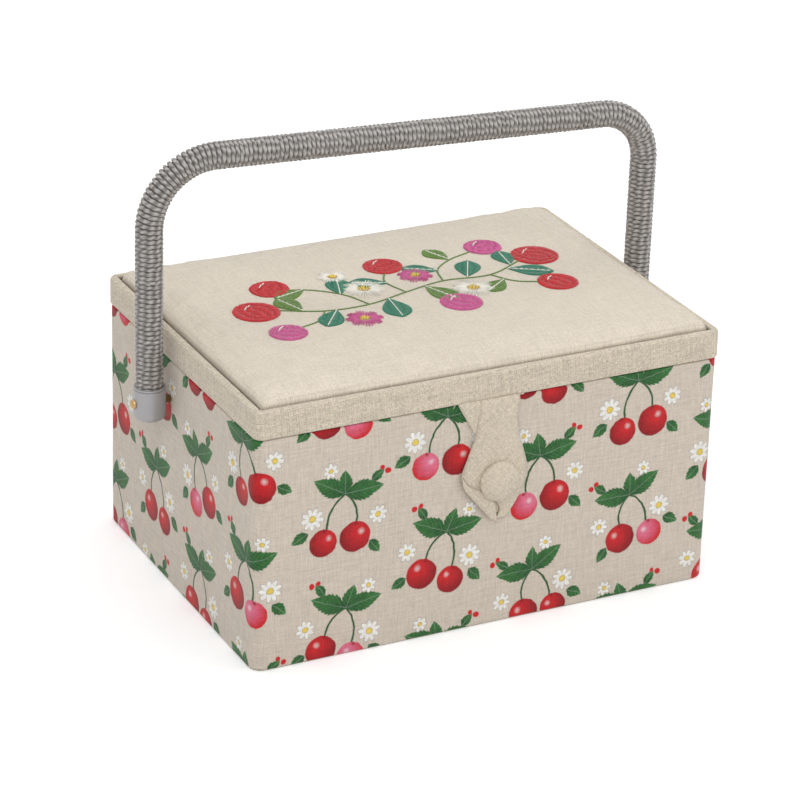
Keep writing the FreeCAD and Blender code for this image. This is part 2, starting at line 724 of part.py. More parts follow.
cord_line = cord_turns()
cord_height = cord_line.BoundBox.ZMax
print(f"least gap between cord turns {least_gap(cord_line, 2 * size('cord_radius')):.2f} mm")
cord_foot = cord_line.Vertexes[0].Point
cord_angles = [2 * math.pi * step / CORD_SIDES for step in range(CORD_SIDES + 1)]
cord_corners = [Vector(math.cos(angle), math.sin(angle)) * size("cord_radius") for angle in cord_angles]
cord_section = Part.makePolygon([cord_foot + corner for corner in cord_corners])
cord_shape = cord_line.makePipeShell([cord_section], True, False)
bed_radius = size("wrap_radius") - 2 * size("cord_radius") - size("cord_bed_gap")
ring = Part.makeCylinder(size("cap_radius"), cord_height).cut(Part.makeCylinder(bed_radius, cord_height))
turns_height = f"{PIVOT_Z} + cap_height / 2 + turns_lift"
turns, beds = [], []
for side, sign in (("left", "-"), ("right", "+")):
    for pieces, name, shape in ((turns, "cord_turns", cord_shape), (beds, "cord_bed", ring)):
        piece = doc.addObject("Part::Feature", f"{name}_{side}")
        piece.Shape = shape
        piece.Placement = Placement(Vector(), Rotation(Vector(0, 0, 1), 180 if sign == "+" else 0))
        pieces.append(place(piece, f"{sign}{HALF_SPAN}", "pivot_y", turns_height))
sleeve = cut("wrap_sleeve", wrap_bar, core_bar, *beds)
node(fuse("handle_wrap", sleeve, *turns))

pivot_hole = rod(
    "pivot_hole", "+X", "rivet_radius + pivot_clearance", f"4 * {HALF_SPAN}",
    f"-2 * {HALF_SPAN}", "pivot_y", PIVOT_Z,
)
for side, sign in (("left", "-"), ("right", "+")):
    bore = "wrap_radius + cap_clearance"
    ferrule = turned(
        f"ferrule_{side}", "+Z",
        (
            ("0", "-cap_height / 2"),
            ("cap_radius - cap_slope", "-cap_height / 2"),
            ("cap_radius", "cap_slope - cap_height / 2"),
            ("cap_radius", "cap_height / 2"),
            (bore, "cap_height / 2"),
            (bore, LEG_LOW),
            ("0", LEG_LOW),
        ),
        f"{sign}{HALF_SPAN}", "pivot_y", PIVOT_Z,
    )
    node(cut(f"end_cap_{side}", ferrule, pivot_hole))

# Every feature is sound before anything is written
doc.recompute()
for thing in doc.Objects:
    if "Invalid" in thing.State or "Error" in thing.State:
        raise RuntimeError(f"{thing.Label} failed: {thing.State}")
os.makedirs("parts", exist_ok=True)
for piece in nodes:
    if piece.Shape.isNull() or not piece.Shape.isValid() or not piece.Shape.Solids:
        raise RuntimeError(f"{piece.Label} has no sound solid")
for piece in nodes:
    piece.Shape.exportStep(f"parts/{piece.Label}.step")
print(f"{len(nodes)} pieces written")
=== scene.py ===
"""Sewing box: cloth, winding, thread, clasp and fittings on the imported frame, in a small studio."""

import json
import math

import bmesh
import bpy
import numpy as np
from bpy.props import FloatProperty, FloatVectorProperty, IntProperty, PointerProperty
from bpy.types import Operator, Panel, PropertyGroup
from mathutils import Matrix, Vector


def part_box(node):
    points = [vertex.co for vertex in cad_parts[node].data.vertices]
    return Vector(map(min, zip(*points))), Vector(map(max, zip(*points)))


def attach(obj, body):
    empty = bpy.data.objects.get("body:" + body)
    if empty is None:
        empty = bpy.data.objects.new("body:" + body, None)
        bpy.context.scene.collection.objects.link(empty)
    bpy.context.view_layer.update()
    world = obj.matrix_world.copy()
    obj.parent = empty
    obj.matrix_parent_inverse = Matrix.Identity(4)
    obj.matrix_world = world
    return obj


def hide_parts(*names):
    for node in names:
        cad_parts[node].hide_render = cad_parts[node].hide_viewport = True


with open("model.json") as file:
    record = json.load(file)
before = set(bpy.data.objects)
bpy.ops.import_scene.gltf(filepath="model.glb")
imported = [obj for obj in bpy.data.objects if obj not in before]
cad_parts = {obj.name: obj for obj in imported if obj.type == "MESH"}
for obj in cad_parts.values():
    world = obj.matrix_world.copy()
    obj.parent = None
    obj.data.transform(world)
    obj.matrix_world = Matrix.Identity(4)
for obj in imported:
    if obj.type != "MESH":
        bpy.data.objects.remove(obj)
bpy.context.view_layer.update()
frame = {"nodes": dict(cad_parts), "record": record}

bl_info = {
    "name": "Sewing box",
    "version": (1, 0, 0),
    "blender": (4, 5, 0),
    "location": "View3D > Sidebar > Sewing box",
    "description": "Dresses the frame of a sewing box in cloth, cord, thread and metal",
    "category": "Object",
}

MM = 0.001
TURN = 2 * math.pi
GOLDEN_ANGLE = 2.39996


def node_box(name):
    """Lowest and highest corner of a node of the frame, in millimetres."""
    low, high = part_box(name)
    return np.array(low) / MM, np.array(high) / MM


# Places of the frame and sizes of the cushion, the handle and the hinges, in millimetres
BODY_LOW, BODY_HIGH = node_box("side_cover")
BAND_LOW, BAND_HIGH = node_box("lid_band_cover")
PAD_LOW, PAD_HIGH = node_box("lid_cushion")
WALL_FACE = BODY_LOW[1]
SEAM = BODY_HIGH[2]
SHOULDER, CROWN_LIFT = 2.2, 0.3
LEFT_RISE, RIGHT_RISE = 124.9, 117.0
LEFT_BEND, RIGHT_BEND = 34.0, 27.0
HANDLE_FOOT = 3.65
HINGE_PLACE, SCREW_SPREAD = 78.0, 8.0
BOX_LEAF, LID_LEAF, LEAF_THICKNESS = 14.0, 10.0, 1.0

# Grids of the pads, samples along and round the handle's cord and its dark tube of painted shade, points
# of one stitch, and the frames and settings of the cloth simulation
LID_COLUMNS, LID_ROWS = 124, 90
PINCUSHION_COLUMNS, PINCUSHION_ROWS = 42, 56
TURN_SAMPLES, CORD_SIDES = 40, 8
SHADE_TUBE_ROWS, SHADE_TUBE_SIDES = 260, 20
STITCH_ROWS, STITCH_SIDES = 6, 5
SWELL_FRAMES = 20
CLOTH_SETTINGS = {
    "vertex_group_mass": "held", "quality": 6, "mass": 0.15, "tension_stiffness": 8.0,
    "compression_stiffness": 8.0, "shear_stiffness": 3.0, "bending_stiffness": 0.4, "shrink_min": -0.012,
    "use_pressure": True,
}


def shade(red, green, blue):
    """A colour as the screen shows it, from 0 to 255, as the linear colour that a shader takes."""
    screen = np.array([red, green, blue]) / 255
    linear = np.where(screen <= 0.04045, screen / 12.92, ((screen + 0.055) / 1.055) ** 2.4)
    return tuple(float(channel) for channel in linear)


def dimmed(tint, share):
    """A share of a colour."""
    return tuple(share * channel for channel in tint)


def length(name, description, default_mm):
    """A length of the box as a property, given in millimetres."""
    return FloatProperty(name=name, description=description, default=default_mm * MM, min=0.0, precision=5,
                         unit="LENGTH", subtype="DISTANCE")


def colour(name, description, red, green, blue):
    """A colour of the box as a property, given as the screen shows it."""
    return FloatVectorProperty(name=name, description=description, default=shade(red, green, blue), size=3,
                               min=0.0, max=1.0, subtype="COLOR")


class SewingBoxSizes(PropertyGroup):
    """Sizes of the cloth, the cord and the thread."""

    cloth: length("Cloth", "Thickness of the cloth on the body and on the lid's band", 0.5)
    body_corner: length("Body corner", "Radius of the body's upright corners", 7.0)
    lid_corner: length("Lid corner", "Radius of the lid's upright corners", 5.0)
    rim_round: length("Rim rounding", "Rounding of the lid's upper edge", 1.5)
    repeat_height: length("Repeat height", "Height of one repeat of the print", 62.0)
    repeats_round: IntProperty(name="Repeats round", description="Repeats of the print round the body",
                               default=16, min=2)
    body_thread: length("Body thread", "Spacing of the threads in the printed cloth", 0.85)
    lid_thread: length("Lid thread", "Spacing of the threads in the lid's linen", 1.05)
    band_thread: length("Band thread", "Spacing of the threads in the band's linen", 1.25)
    crown_power: FloatProperty(name="Crown fullness", description="How square the lid cushion's crown is",
                               default=2.5, min=1.5, max=6.0, subtype="FACTOR")
    cord_pitch: length("Cord pitch", "Spacing of the cord's turns along the handle", 2.4)
    cord_radius: length("Cord radius", "Radius of the twisted cord", 1.18)
    stitch: length("Stitch", "Thickness of the embroidery thread", 0.68)


class SewingBoxColours(PropertyGroup):
    """Colours of the cloth, the print, the threads and the fittings."""

    ground: colour("Ground", "Ground of the printed cloth", 214, 202, 187)
    lid_linen: colour("Lid linen", "Linen of the lid's cushion", 228, 217, 199)
    band_linen: colour("Band linen", "Linen of the lid's band and of the clasp", 213, 201, 181)
    cherry: colour("Cherry", "Red of the printed cherries", 206, 28, 34)
    cherry_dark: colour("Cherry shade", "Shaded side of the cherries", 138, 10, 20)
    pink: colour("Pink", "Pink of the paler cherries", 226, 116, 146)
    leaf: colour("Leaf", "Light green of the leaves", 58, 124, 54)
    leaf_dark: colour("Leaf shade", "Dark green of the leaves and stems", 24, 78, 34)
    petal: colour("Petal", "White of the daisies", 240, 238, 233)
    heart: colour("Flower heart", "Yellow of the daisies' hearts", 236, 206, 96)
    thread_red: colour("Red thread", "Red embroidery thread", 196, 22, 32)
    thread_pink: colour("Pink thread", "Pink embroidery thread", 204, 88, 146)
    thread_teal: colour("Teal thread", "Blue-green embroidery thread", 28, 118, 90)
    thread_olive: colour("Olive thread", "Olive embroidery thread", 92, 128, 42)
    thread_cream: colour("Cream thread", "Cream embroidery thread", 243, 239, 228)
    cord: colour("Cord", "Twisted cord of the handle", 192, 187, 183)
    # painted shade: the dark colour of the cord's ply grooves and of the dark tube under the cord
    cord_painted_shade: colour("Cord shade", "Depth between the cord's turns", 112, 107, 103)
    cap: colour("End cap", "Satin grey of the handle's end caps", 172, 170, 172)
    brass: colour("Brass", "Rivets, hinges and screws", 196, 162, 112)
    steel: colour("Steel", "Hinge pins and the handle's core", 190, 190, 192)
    board: colour("Board", "Grey board of the walls and the lid", 178, 168, 152)
    paper: colour("Base paper", "Paper under the base", 206, 196, 178)
    lining: colour("Lining", "Cotton lining and pocket", 226, 216, 198)
    tray: colour("Tray", "Moulded sorting tray", 232, 228, 218)
    cushion: colour("Pincushion", "Red cotton of the pincushion", 176, 30, 40)


def maths(operation):
    """A method of Field that puts its operands through a Math node."""
    def method(self, *others):
        return self.through(operation, *others)
    return method


class Field:
    """A number that varies over a surface, with the Math node behind each of its operations."""

    def __init__(self, finish, socket):
        self.finish = finish
        self.socket = socket

    def through(self, operation, *others, clamp=False):
        """A Math node with this number and the others as inputs."""
        node = self.finish.node("ShaderNodeMath", operation=operation, use_clamp=clamp)
        for place, value in enumerate((self, *others)):
            if isinstance(value, Field):
                self.finish.join(value.socket, node.inputs[place])
            else:
                node.inputs[place].default_value = value
        return Field(self.finish, node.outputs[0])

    __add__ = __radd__ = maths("ADD")
    __sub__ = maths("SUBTRACT")
    __mul__ = __rmul__ = maths("MULTIPLY")
    __truediv__ = maths("DIVIDE")
    size = maths("ABSOLUTE")
    floor = maths("FLOOR")
    part = maths("FRACT")
    sine = maths("SINE")
    root = maths("SQRT")
    angle_over = maths("ARCTAN2")
    most = maths("MAXIMUM")

    def __rsub__(self, other):
        return self * -1.0 + other

    def parity(self):
        """1 for an odd number and 0 for an even one."""
        return self.through("FLOORED_MODULO", 2.0)

    def clamped(self):
        """The number, kept between 0 and 1."""
        return self.through("ADD", 0.0, clamp=True)


class Finish:
    """A material under work: its node tree, its shader and the fields that feed it."""

    def __init__(self, name):
        self.material = bpy.data.materials.new(name)
        self.material.use_nodes = True
        self.tree = self.material.node_tree
        self.tree.nodes.clear()
        self.shader = self.node("ShaderNodeBsdfPrincipled")
        self.join(self.shader.outputs[0], self.node("ShaderNodeOutputMaterial").inputs[0])

    def node(self, kind, **settings):
        node = self.tree.nodes.new(kind)
        for setting, value in settings.items():
            setattr(node, setting, value)
        return node

    def join(self, source, target):
        self.tree.links.new(source, target)

    def axes(self, coordinates, count, scale=1.0):
        """The first axes of a set of texture coordinates, as fields."""
        split = self.node("ShaderNodeSeparateXYZ")
        self.join(self.node("ShaderNodeTexCoord").outputs[coordinates], split.inputs[0])
        return [Field(self, split.outputs[axis]) * scale for axis in range(count)]

    def cloth_place(self):
        """Place along and across the cloth, in millimetres, from the piece's own UV map."""
        return self.axes("UV", 2, 1 / MM)

    def object_place(self):
        """Place in the frame, in millimetres."""
        return self.axes("Object", 3, 1 / MM)

    def noise(self, place, detail=2.0, roughness=0.5):
        """Noise from 0 to 1 at a place given as two or three fields."""
        point = self.node("ShaderNodeCombineXYZ")
        for axis, value in enumerate(place):
            self.join(value.socket, point.inputs[axis])
        node = self.node("ShaderNodeTexNoise", noise_dimensions="3D")
        node.inputs["Scale"].default_value = 1.0
        node.inputs["Detail"].default_value = detail
        node.inputs["Roughness"].default_value = roughness
        self.join(point.outputs[0], node.inputs["Vector"])
        return Field(self, node.outputs["Fac"])

    def blend(self, share, first, second, mode="MIX"):
        """Two colours, each a socket or a plain colour, mixed by a field."""
        node = self.node("ShaderNodeMix", data_type="RGBA", blend_type=mode)
        for place, value in ((6, first), (7, second)):
            if isinstance(value, bpy.types.NodeSocket):
                self.join(value, node.inputs[place])
            else:
                node.inputs[place].default_value = (*value, 1.0)
        if isinstance(share, Field):
            self.join(share.socket, node.inputs[0])
        else:
            node.inputs[0].default_value = share
        return node.outputs[2]

    def mottled(self, share, base, low):
        """A colour that falls to a share of itself where a field is 0."""
        return self.blend(share, dimmed(base, low), base)

    def toned(self, colour_socket, tone):
        """A colour made lighter or darker by a field that is 1 where nothing changes."""
        grey = self.node("ShaderNodeCombineColor")
        for channel in range(3):
            self.join(tone.socket, grey.inputs[channel])
        return self.blend(1.0, colour_socket, grey.outputs[0], mode="MULTIPLY")

    def done(self, base, roughness, height=None, depth_mm=0.1, strength=1.0, **constants):
        """Joins colour, roughness and relief to the shader and sets its constant sockets."""
        self.join(base, self.shader.inputs["Base Color"])
        if isinstance(roughness, Field):
            self.join(roughness.socket, self.shader.inputs["Roughness"])
        else:
            self.shader.inputs["Roughness"].default_value = roughness
        if height is not None:
            bump = self.node("ShaderNodeBump")
            bump.inputs["Strength"].default_value = strength
            bump.inputs["Distance"].default_value = depth_mm * MM
            self.join(height.socket, bump.inputs["Height"])
            self.join(bump.outputs[0], self.shader.inputs["Normal"])
        for socket, value in constants.items():
            self.shader.inputs[socket.replace("_", " ")].default_value = value
        return self.material


def woven(finish, across, along, thread, slub):
    """Plain weave: threads are half sines across their width, over and under by the parity of the crossing.

    Each thread is a little thicker or paler along its length, by noise that is stretched along it. Gives
    the height of the cloth from 0 to 1 and a tone round 1 that holds painted shade: darker in the hollows
    between threads and lighter on their crowns.
    """
    warp_place, weft_place = across / thread, along / thread
    over = (warp_place.floor() + weft_place.floor()).parity()
    warp = (warp_place.part() * math.pi).sine()
    weft = (weft_place.part() * math.pi).sine()
    under = 1.0 - over
    height = over * warp * (weft * 0.4 + 0.6) + under * weft * (warp * 0.4 + 0.6)
    warp_slub = finish.noise((warp_place * 0.8, weft_place * 0.07), detail=3.0)
    weft_slub = finish.noise((warp_place * 0.07, weft_place * 0.8 + 40.0), detail=3.0)
    shift = (over * 0.6 + 0.2) * (warp_slub - 0.5) + (under * 0.6 + 0.2) * (weft_slub - 0.5)
    # painted shade: height * 0.16 makes the crowns of the threads lighter and the hollows between them darker
    tone = shift * (2.0 * slub) + height * 0.16 + 0.90
    return height + shift * 1.2, tone


def thread_grain(finish, across, along):
    """Short paler and darker lengths of thread both ways of the cloth, round 0."""
    warp = finish.noise((across * 1.5, along * 0.5), detail=2.0, roughness=0.7)
    weft = finish.noise((across * 0.5 + 30.0, along * 1.5), detail=2.0, roughness=0.7)
    return warp + weft - 1.0


def linen(name, base, thread_mm, slub, bias=0.0, from_uv=True, depth_mm=0.22, speckle=0.0, grain=0.0):
    """Plain linen; bias turns the weave, speckle adds darker fibres and grain uneven lengths of thread."""
    finish = Finish(name)
    u, v = finish.cloth_place() if from_uv else finish.object_place()[:2]
    across = u * math.cos(bias) + v * math.sin(bias)
    along = v * math.cos(bias) - u * math.sin(bias)
    height, tone = woven(finish, across, along, thread_mm, slub)
    blotch = finish.noise((u * 0.03, v * 0.03), detail=3.0)
    tone = tone + (blotch - 0.5) * 0.10
    if grain:
        tone = tone + thread_grain(finish, across, along) * grain
    if speckle:
        fibre = finish.noise((across * 0.35, along * 2.2), detail=2.0)
        fleck = finish.noise((across * 2.0 + 70.0, along * 0.4), detail=2.0)
        tone = tone - (fibre.most(fleck) * 5.0 - 3.1).clamped() * speckle
    # the tone from the weave holds its painted shade in the hollows between threads
    toned = finish.toned(finish.mottled(blotch, base, 0.97), tone)
    return finish.done(toned, 0.85, height, depth_mm, 0.9, Sheen_Weight=0.25, Sheen_Roughness=0.5,
                       Specular_IOR_Level=0.25)


def leaf_shape(x, y, root_x, root_y, degrees, reach, half_width):
    """A toothed leaf: width 4t(1-t) along its midrib, cut by a saw wave. Gives mask, veins and t."""
    turn = math.radians(degrees)
    ahead = (x - root_x) * math.cos(turn) + (y - root_y) * math.sin(turn)
    aside = ((y - root_y) * math.cos(turn) - (x - root_x) * math.sin(turn)).size()
    share = (ahead / reach).clamped()
    width = share * (1.0 - share) * (1.3 - share * 0.6) * (4.0 * half_width)
    saw = (ahead / 2.3 - aside * 0.12).part()
    edge = (aside - width * (saw * 0.16 + 0.88)).most(0.0 - ahead).most(ahead - reach)
    mask = (0.5 - edge / 0.5).clamped()
    rib = (0.75 - aside / 0.42).clamped()
    side_vein = (0.75 - ((ahead - aside * 1.1) / 2.6).part() / 0.16).clamped() * 0.6
    return mask, rib.most(side_vein), share


# The print's shapes in one cell, in millimetres from its middle: stalks as arcs down to a height on one side,
# leaves by root, angle, reach and half width, daisies by petals, cherries by share of pink, and buds
PRINTED_STALKS = ((8.0, -1.4, 16.0, -3.0, 1.0), (-12.1, -2.1, 20.0, -7.0, -1.0))
STALK_TOP = 13.5
PRINTED_LEAVES = ((1.0, 13.0, 166.0, 21.0, 5.6), (1.0, 13.0, 20.0, 20.0, 5.2), (1.0, 13.0, 78.0, 13.0, 3.9),
                  (-12.0, 20.0, 132.0, 9.0, 2.6), (17.5, -8.0, -38.0, 10.0, 3.2),
                  (-17.5, -12.0, 222.0, 9.5, 3.0))
PRINTED_DAISIES = ((16.5, -0.5, 6.0, 9.0), (-19.5, 2.0, 5.0, 8.0), (11.5, 25.0, 4.0, 7.0))
PRINTED_CHERRIES = ((-9.0, -10.0, 8.4, 0.0), (8.0, -13.5, 7.5, 1.0))
PRINTED_BUDS = ((-20.0, 25.5, 1.6), (-16.6, 27.2, 1.3))


def printed_cloth(sizes, tints, perimeter_mm):
    """The body's cloth: a half-drop repeat of cherry pairs, toothed leaves and daisies on woven linen.

    The cloth is cut into cells, every other column half a cell lower and every other cell mirrored. In a
    cell each shape is a distance from a circle, an arc, a leaf or a lobed circle, made a mask at its edge.
    """
    finish = Finish("printed_linen")
    u, v = finish.cloth_place()
    wide = perimeter_mm / sizes.repeats_round
    high = sizes.repeat_height / MM
    column = (u / wide).floor()
    lifted = v + column.parity() * (high / 2) + 18.0
    row = (lifted / high).floor()
    flip = 1.0 - (column + row).parity() * 2.0
    wander = finish.noise((u * 0.25, v * 0.25), detail=1.0) - 0.5
    lean = ((column * 0.37 + row * 0.61).part() - 0.5) * 0.55
    upright_x = (u - (column + 0.5) * wide) * flip + wander * 1.1
    upright_y = lifted - (row + 0.5) * high + wander * 1.1
    x = upright_x + lean * upright_y
    y = upright_y - lean * upright_x
    height, tone = woven(finish, u, v, sizes.body_thread / MM, 0.36)
    blotch = finish.noise((u * 0.02, v * 0.02), detail=3.0)
    wash = finish.noise((u * 0.35, v * 0.35), detail=3.0)

    def ring(centre_x, centre_y):
        """Distance from a point of the cell."""
        return ((x - centre_x) * (x - centre_x) + (y - centre_y) * (y - centre_y)).root()

    def inked(edge, soft=0.5):
        """1 inside an edge and 0 outside it, over a soft width."""
        return (0.5 - edge / soft).clamped()

    picture = finish.mottled(blotch, tints.ground, 0.95)
    for centre_x, centre_y, radius, low, side in PRINTED_STALKS:
        line = (ring(centre_x, centre_y) - radius).size() - 0.55
        line = line.most((x - centre_x) * side).most(low - y).most(y - STALK_TOP)
        picture = finish.blend(inked(line), picture, tints.leaf_dark)
    vein_green = tuple(min(1.0, 0.5 * channel + 0.28) for channel in tints.leaf)
    for leaf in PRINTED_LEAVES:
        mask, veins, share = leaf_shape(x, y, *leaf)
        depth = (share * 0.7 + (wash - 0.5) * 1.1 + 0.05).clamped()
        green = finish.blend(depth, tints.leaf_dark, tints.leaf)
        picture = finish.blend(mask, picture, finish.blend(veins * 0.8, green, vein_green))
    for centre_x, centre_y, radius, petals in PRINTED_DAISIES:
        far = ring(centre_x, centre_y)
        angle = (y - centre_y).angle_over(x - centre_x)
        lobe = (angle * (petals / 2)).sine().size()
        edge = far - (lobe * 0.46 + 0.56) * radius
        crease = (1.0 - lobe * 1.6).clamped() * (far / radius).clamped() * 0.30
        heart = far - radius * 0.29
        picture = finish.blend(inked(edge - 0.35), picture, dimmed(tints.ground, 0.55))
        petal = finish.blend(crease, tints.petal, dimmed(tints.petal, 0.6))
        picture = finish.blend(inked(edge), picture, petal)
        picture = finish.blend(inked(heart), picture, tints.heart)
        picture = finish.blend(inked(heart.size() - 0.18) * 0.7, picture, dimmed(tints.heart, 0.35))
    paler = (row + (column / 2.0).floor()).parity()
    for centre_x, centre_y, radius, pale in PRINTED_CHERRIES:
        lit = ring(centre_x - 0.32 * radius, centre_y + 0.34 * radius) / radius
        glint = ring(centre_x - 0.34 * radius, centre_y + 0.36 * radius) / (0.30 * radius)
        full = finish.blend(paler * pale, tints.cherry, tints.pink)
        dark = finish.blend(paler * pale, tints.cherry_dark, tints.cherry)
        body = finish.blend((lit * 0.95 - 0.28 + (wash - 0.5) * 0.6).clamped(), full, dark)
        body = finish.blend((0.9 - glint).clamped() * 0.75, body, tints.petal)
        picture = finish.blend(inked(ring(centre_x, centre_y) - radius), picture, body)
        dimple = ring(centre_x + 0.10 * radius, centre_y + 0.86 * radius) - 0.9
        picture = finish.blend(inked(dimple, 1.0) * 0.8, picture, tints.cherry_dark)
    for centre_x, centre_y, radius in PRINTED_BUDS:
        picture = finish.blend(inked(ring(centre_x, centre_y) - radius), picture, tints.cherry)
    # the tone holds the weave's painted shade in the hollows between threads, with random wash and grain
    grain_toned = finish.toned(picture, tone + (wash - 0.5) * 0.05 + thread_grain(finish, u, v) * 0.28)
    return finish.done(grain_toned, 0.82, height, 0.18, 0.8, Sheen_Weight=0.2, Sheen_Roughness=0.5,
                       Specular_IOR_Level=0.25)


def thread_finish():
    """Embroidery thread: the stitch's own colour, fine twist lines along it with painted shade in their
    grooves, and a silky sheen.
    """
    finish = Finish("embroidery_thread")
    dye = finish.node("ShaderNodeAttribute", attribute_name="thread")
    u, v = finish.cloth_place()
    twist = (u * 5.2 + v * 9.0).sine() * 0.5 + 0.5
    # painted shade: the tone follows the twist relief, darker in its grooves and lighter on its crowns
    dye_and_twist_shade = finish.toned(dye.outputs["Color"], twist * 0.22 + 0.86)
    return finish.done(dye_and_twist_shade, 0.42, twist, 0.06, 0.7, Sheen_Weight=0.2, Sheen_Roughness=0.35,
                       Specular_IOR_Level=0.45)


def cord_finish(tints):
    """Two-ply twisted paper cord: diagonal ply lines with painted light on their crowns and painted shade in
    the grooves between them, mottled by darker fibres.
    """
    finish = Finish("twisted_cord")
    u, v = finish.cloth_place()
    wobble = finish.noise((u * 0.11, v * 0.2), detail=2.0)
    ply = (u * (TURN / 3.65) + v * 2.0 + wobble * 9.0).sine() * 0.5 + 0.5
    fibre = finish.noise((u * 0.5, v * 3.0), detail=3.0)
    patch = finish.noise((u * 0.012, v * 0.1), detail=2.0)
    # painted light and shade: ply crowns go towards the cord colour and grooves towards the painted shade,
    # mottled by fibres and patches
    depth = (ply * 0.75 + (fibre - 0.5) * 1.1 + (patch - 0.5) * 0.5 + 0.10).clamped()
    return finish.done(finish.blend(depth, tints.cord_painted_shade, tints.cord), 0.55, ply + fibre * 0.6, 0.25, 0.8,
                       Specular_IOR_Level=0.4, Sheen_Weight=0.1)


def metal_finish(name, base, roughness, metallic, brushed=False):
    """Metal with faint cloudy wear; brushed metal has fine lines along its length."""
    finish = Finish(name)
    x, y, z = finish.object_place()
    grain = finish.noise((x * 0.25, y * 6.0, z * 6.0) if brushed else (x * 1.6, y * 1.6, z * 1.6), detail=4.0)
    cloud = finish.noise((x * 0.12, y * 0.12, z * 0.12), detail=3.0)
    rough = grain * 0.16 + cloud * 0.12 + (roughness - 0.14)
    grain_toned = finish.toned(finish.mottled(cloud, base, 0.86), grain * 0.12 + 0.94)
    return finish.done(grain_toned, rough, grain, 0.02, 0.4, Metallic=metallic)


def board_finish(name, base, fleck):
    """Grey board or paper: short pressed fibres in two directions and soft mottling."""
    finish = Finish(name)
    x, y, z = finish.object_place()
    fibre = finish.noise((x * 0.5, y * 2.4, z * 2.4), detail=5.0, roughness=0.65)
    cross = finish.noise((x * 2.4, y * 0.5, z * 0.8), detail=5.0, roughness=0.65)
    mottle = finish.noise((x * 0.05, y * 0.05, z * 0.05), detail=3.0)
    tone = (fibre - 0.5) * fleck + (cross - 0.5) * fleck + (mottle - 0.5) * 0.12 + 1.0
    return finish.done(finish.toned(finish.mottled(mottle, base, 0.94), tone), 0.88, fibre + cross, 0.08, 0.7,
                       Specular_IOR_Level=0.2)


def lining_finish(name, base, thread_mm=0.5):
    """Fine cotton on a card: a weave on the two axes that each face shows, with faint darker patches painted
    as the shade of creases.
    """
    finish = Finish(name)
    x, y, z = finish.object_place()
    sideways, _, upward = (axis.size() for axis in finish.axes("Normal", 3))
    across = x * (1.0 - sideways) + y * sideways
    along = z * (1.0 - upward) + y * upward
    height, tone = woven(finish, across, along, thread_mm, 0.12)
    # painted shade: soft patches of colour down to 0.95 stand for the shade of faint creases
    crease = finish.noise((x * 0.02, y * 0.02, z * 0.02), detail=3.0)
    return finish.done(finish.toned(finish.mottled(crease, base, 0.95), tone), 0.8, height, 0.1, 0.6,
                       Sheen_Weight=0.2, Specular_IOR_Level=0.25)


def plastic_finish(name, base):
    """Moulded plastic: a fine spark texture and slight flow clouding under a soft gloss."""
    finish = Finish(name)
    x, y, z = finish.object_place()
    spark = finish.noise((x * 3.0, y * 3.0, z * 3.0), detail=2.0)
    flow = finish.noise((x * 0.03, y * 0.02, z * 0.05), detail=2.0)
    return finish.done(finish.mottled(flow, base, 0.95), spark * 0.10 + 0.30, spark, 0.03, 0.35,
                       Specular_IOR_Level=0.5)


def grid_faces(rows, columns, closed_rows=False, closed_columns=False):
    """Quads over a grid of points, and the row and column of each corner; a closed way joins its two ends."""
    row, column = np.meshgrid(np.arange(rows - (not closed_rows)), np.arange(columns - (not closed_columns)),
                              indexing="ij")
    row, column = row.ravel(), column.ravel()
    corner_rows = np.stack([row, row, row + 1, row + 1], axis=1)
    corner_columns = np.stack([column, column + 1, column + 1, column], axis=1)
    faces = (corner_rows % rows) * columns + corner_columns % columns
    return faces, corner_rows, corner_columns


def piece(name, points_mm, faces, body, material, stands_for=(), uv_mm=None, tint=None, shell=True):
    """Puts points and faces into a mesh, merges its doubles, turns it outwards and hangs it on a body."""
    mesh = bpy.data.meshes.new(name)
    mesh.from_pydata((np.asarray(points_mm).reshape(-1, 3) * MM).tolist(), [], np.asarray(faces).tolist())
    if uv_mm is not None:
        places = (np.asarray(uv_mm) * MM).astype(np.float32).ravel()
        mesh.uv_layers.new(name="cloth").data.foreach_set("uv", places)
    if tint is not None:
        dye = mesh.attributes.new("thread", "FLOAT_COLOR", "POINT")
        rgba = np.concatenate([tint, np.ones((len(tint), 1))], axis=1)
        dye.data.foreach_set("color", rgba.astype(np.float32).ravel())
    work = bmesh.new()
    work.from_mesh(mesh)
    bmesh.ops.remove_doubles(work, verts=work.verts, dist=1e-7)
    if shell and work.calc_volume(signed=True) < 0:
        bmesh.ops.reverse_faces(work, faces=work.faces)
    work.to_mesh(mesh)
    work.free()
    mesh.polygons.foreach_set("use_smooth", np.ones(len(mesh.polygons), dtype=bool))
    mesh.materials.append(material)
    made = bpy.data.objects.new(name, mesh)
    bpy.context.scene.collection.objects.link(made)
    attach(made, body)
    if stands_for:
        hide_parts(*stands_for)
    return made


def placed(*axes):
    """Points from arrays of their x, y and z, spread over each other."""
    return np.stack(np.broadcast_arrays(*axes), axis=-1)


def bearing(degrees):
    """The direction at an angle in a plane, and the one a quarter turn on."""
    turn = math.radians(degrees)
    return np.array([math.cos(turn), math.sin(turn)]), np.array([-math.sin(turn), math.cos(turn)])


def arc(centre_a, centre_b, radius, start, end, count):
    """Points of a circular arc in a plane, from one angle to another in degrees."""
    turn = np.radians(np.linspace(start, end, count))
    return np.stack([centre_a + radius * np.cos(turn), centre_b + radius * np.sin(turn)], axis=1)


def dome(radius, rise, base, count):
    """The profile of a dome: a quarter ellipse of radius and height, from its rim to its top on the axis."""
    turn = np.linspace(0, math.pi / 2, count)
    profile = np.stack([radius * np.cos(turn), base + rise * np.sin(turn)], axis=1)
    profile[-1, 0] = 0.0
    return profile


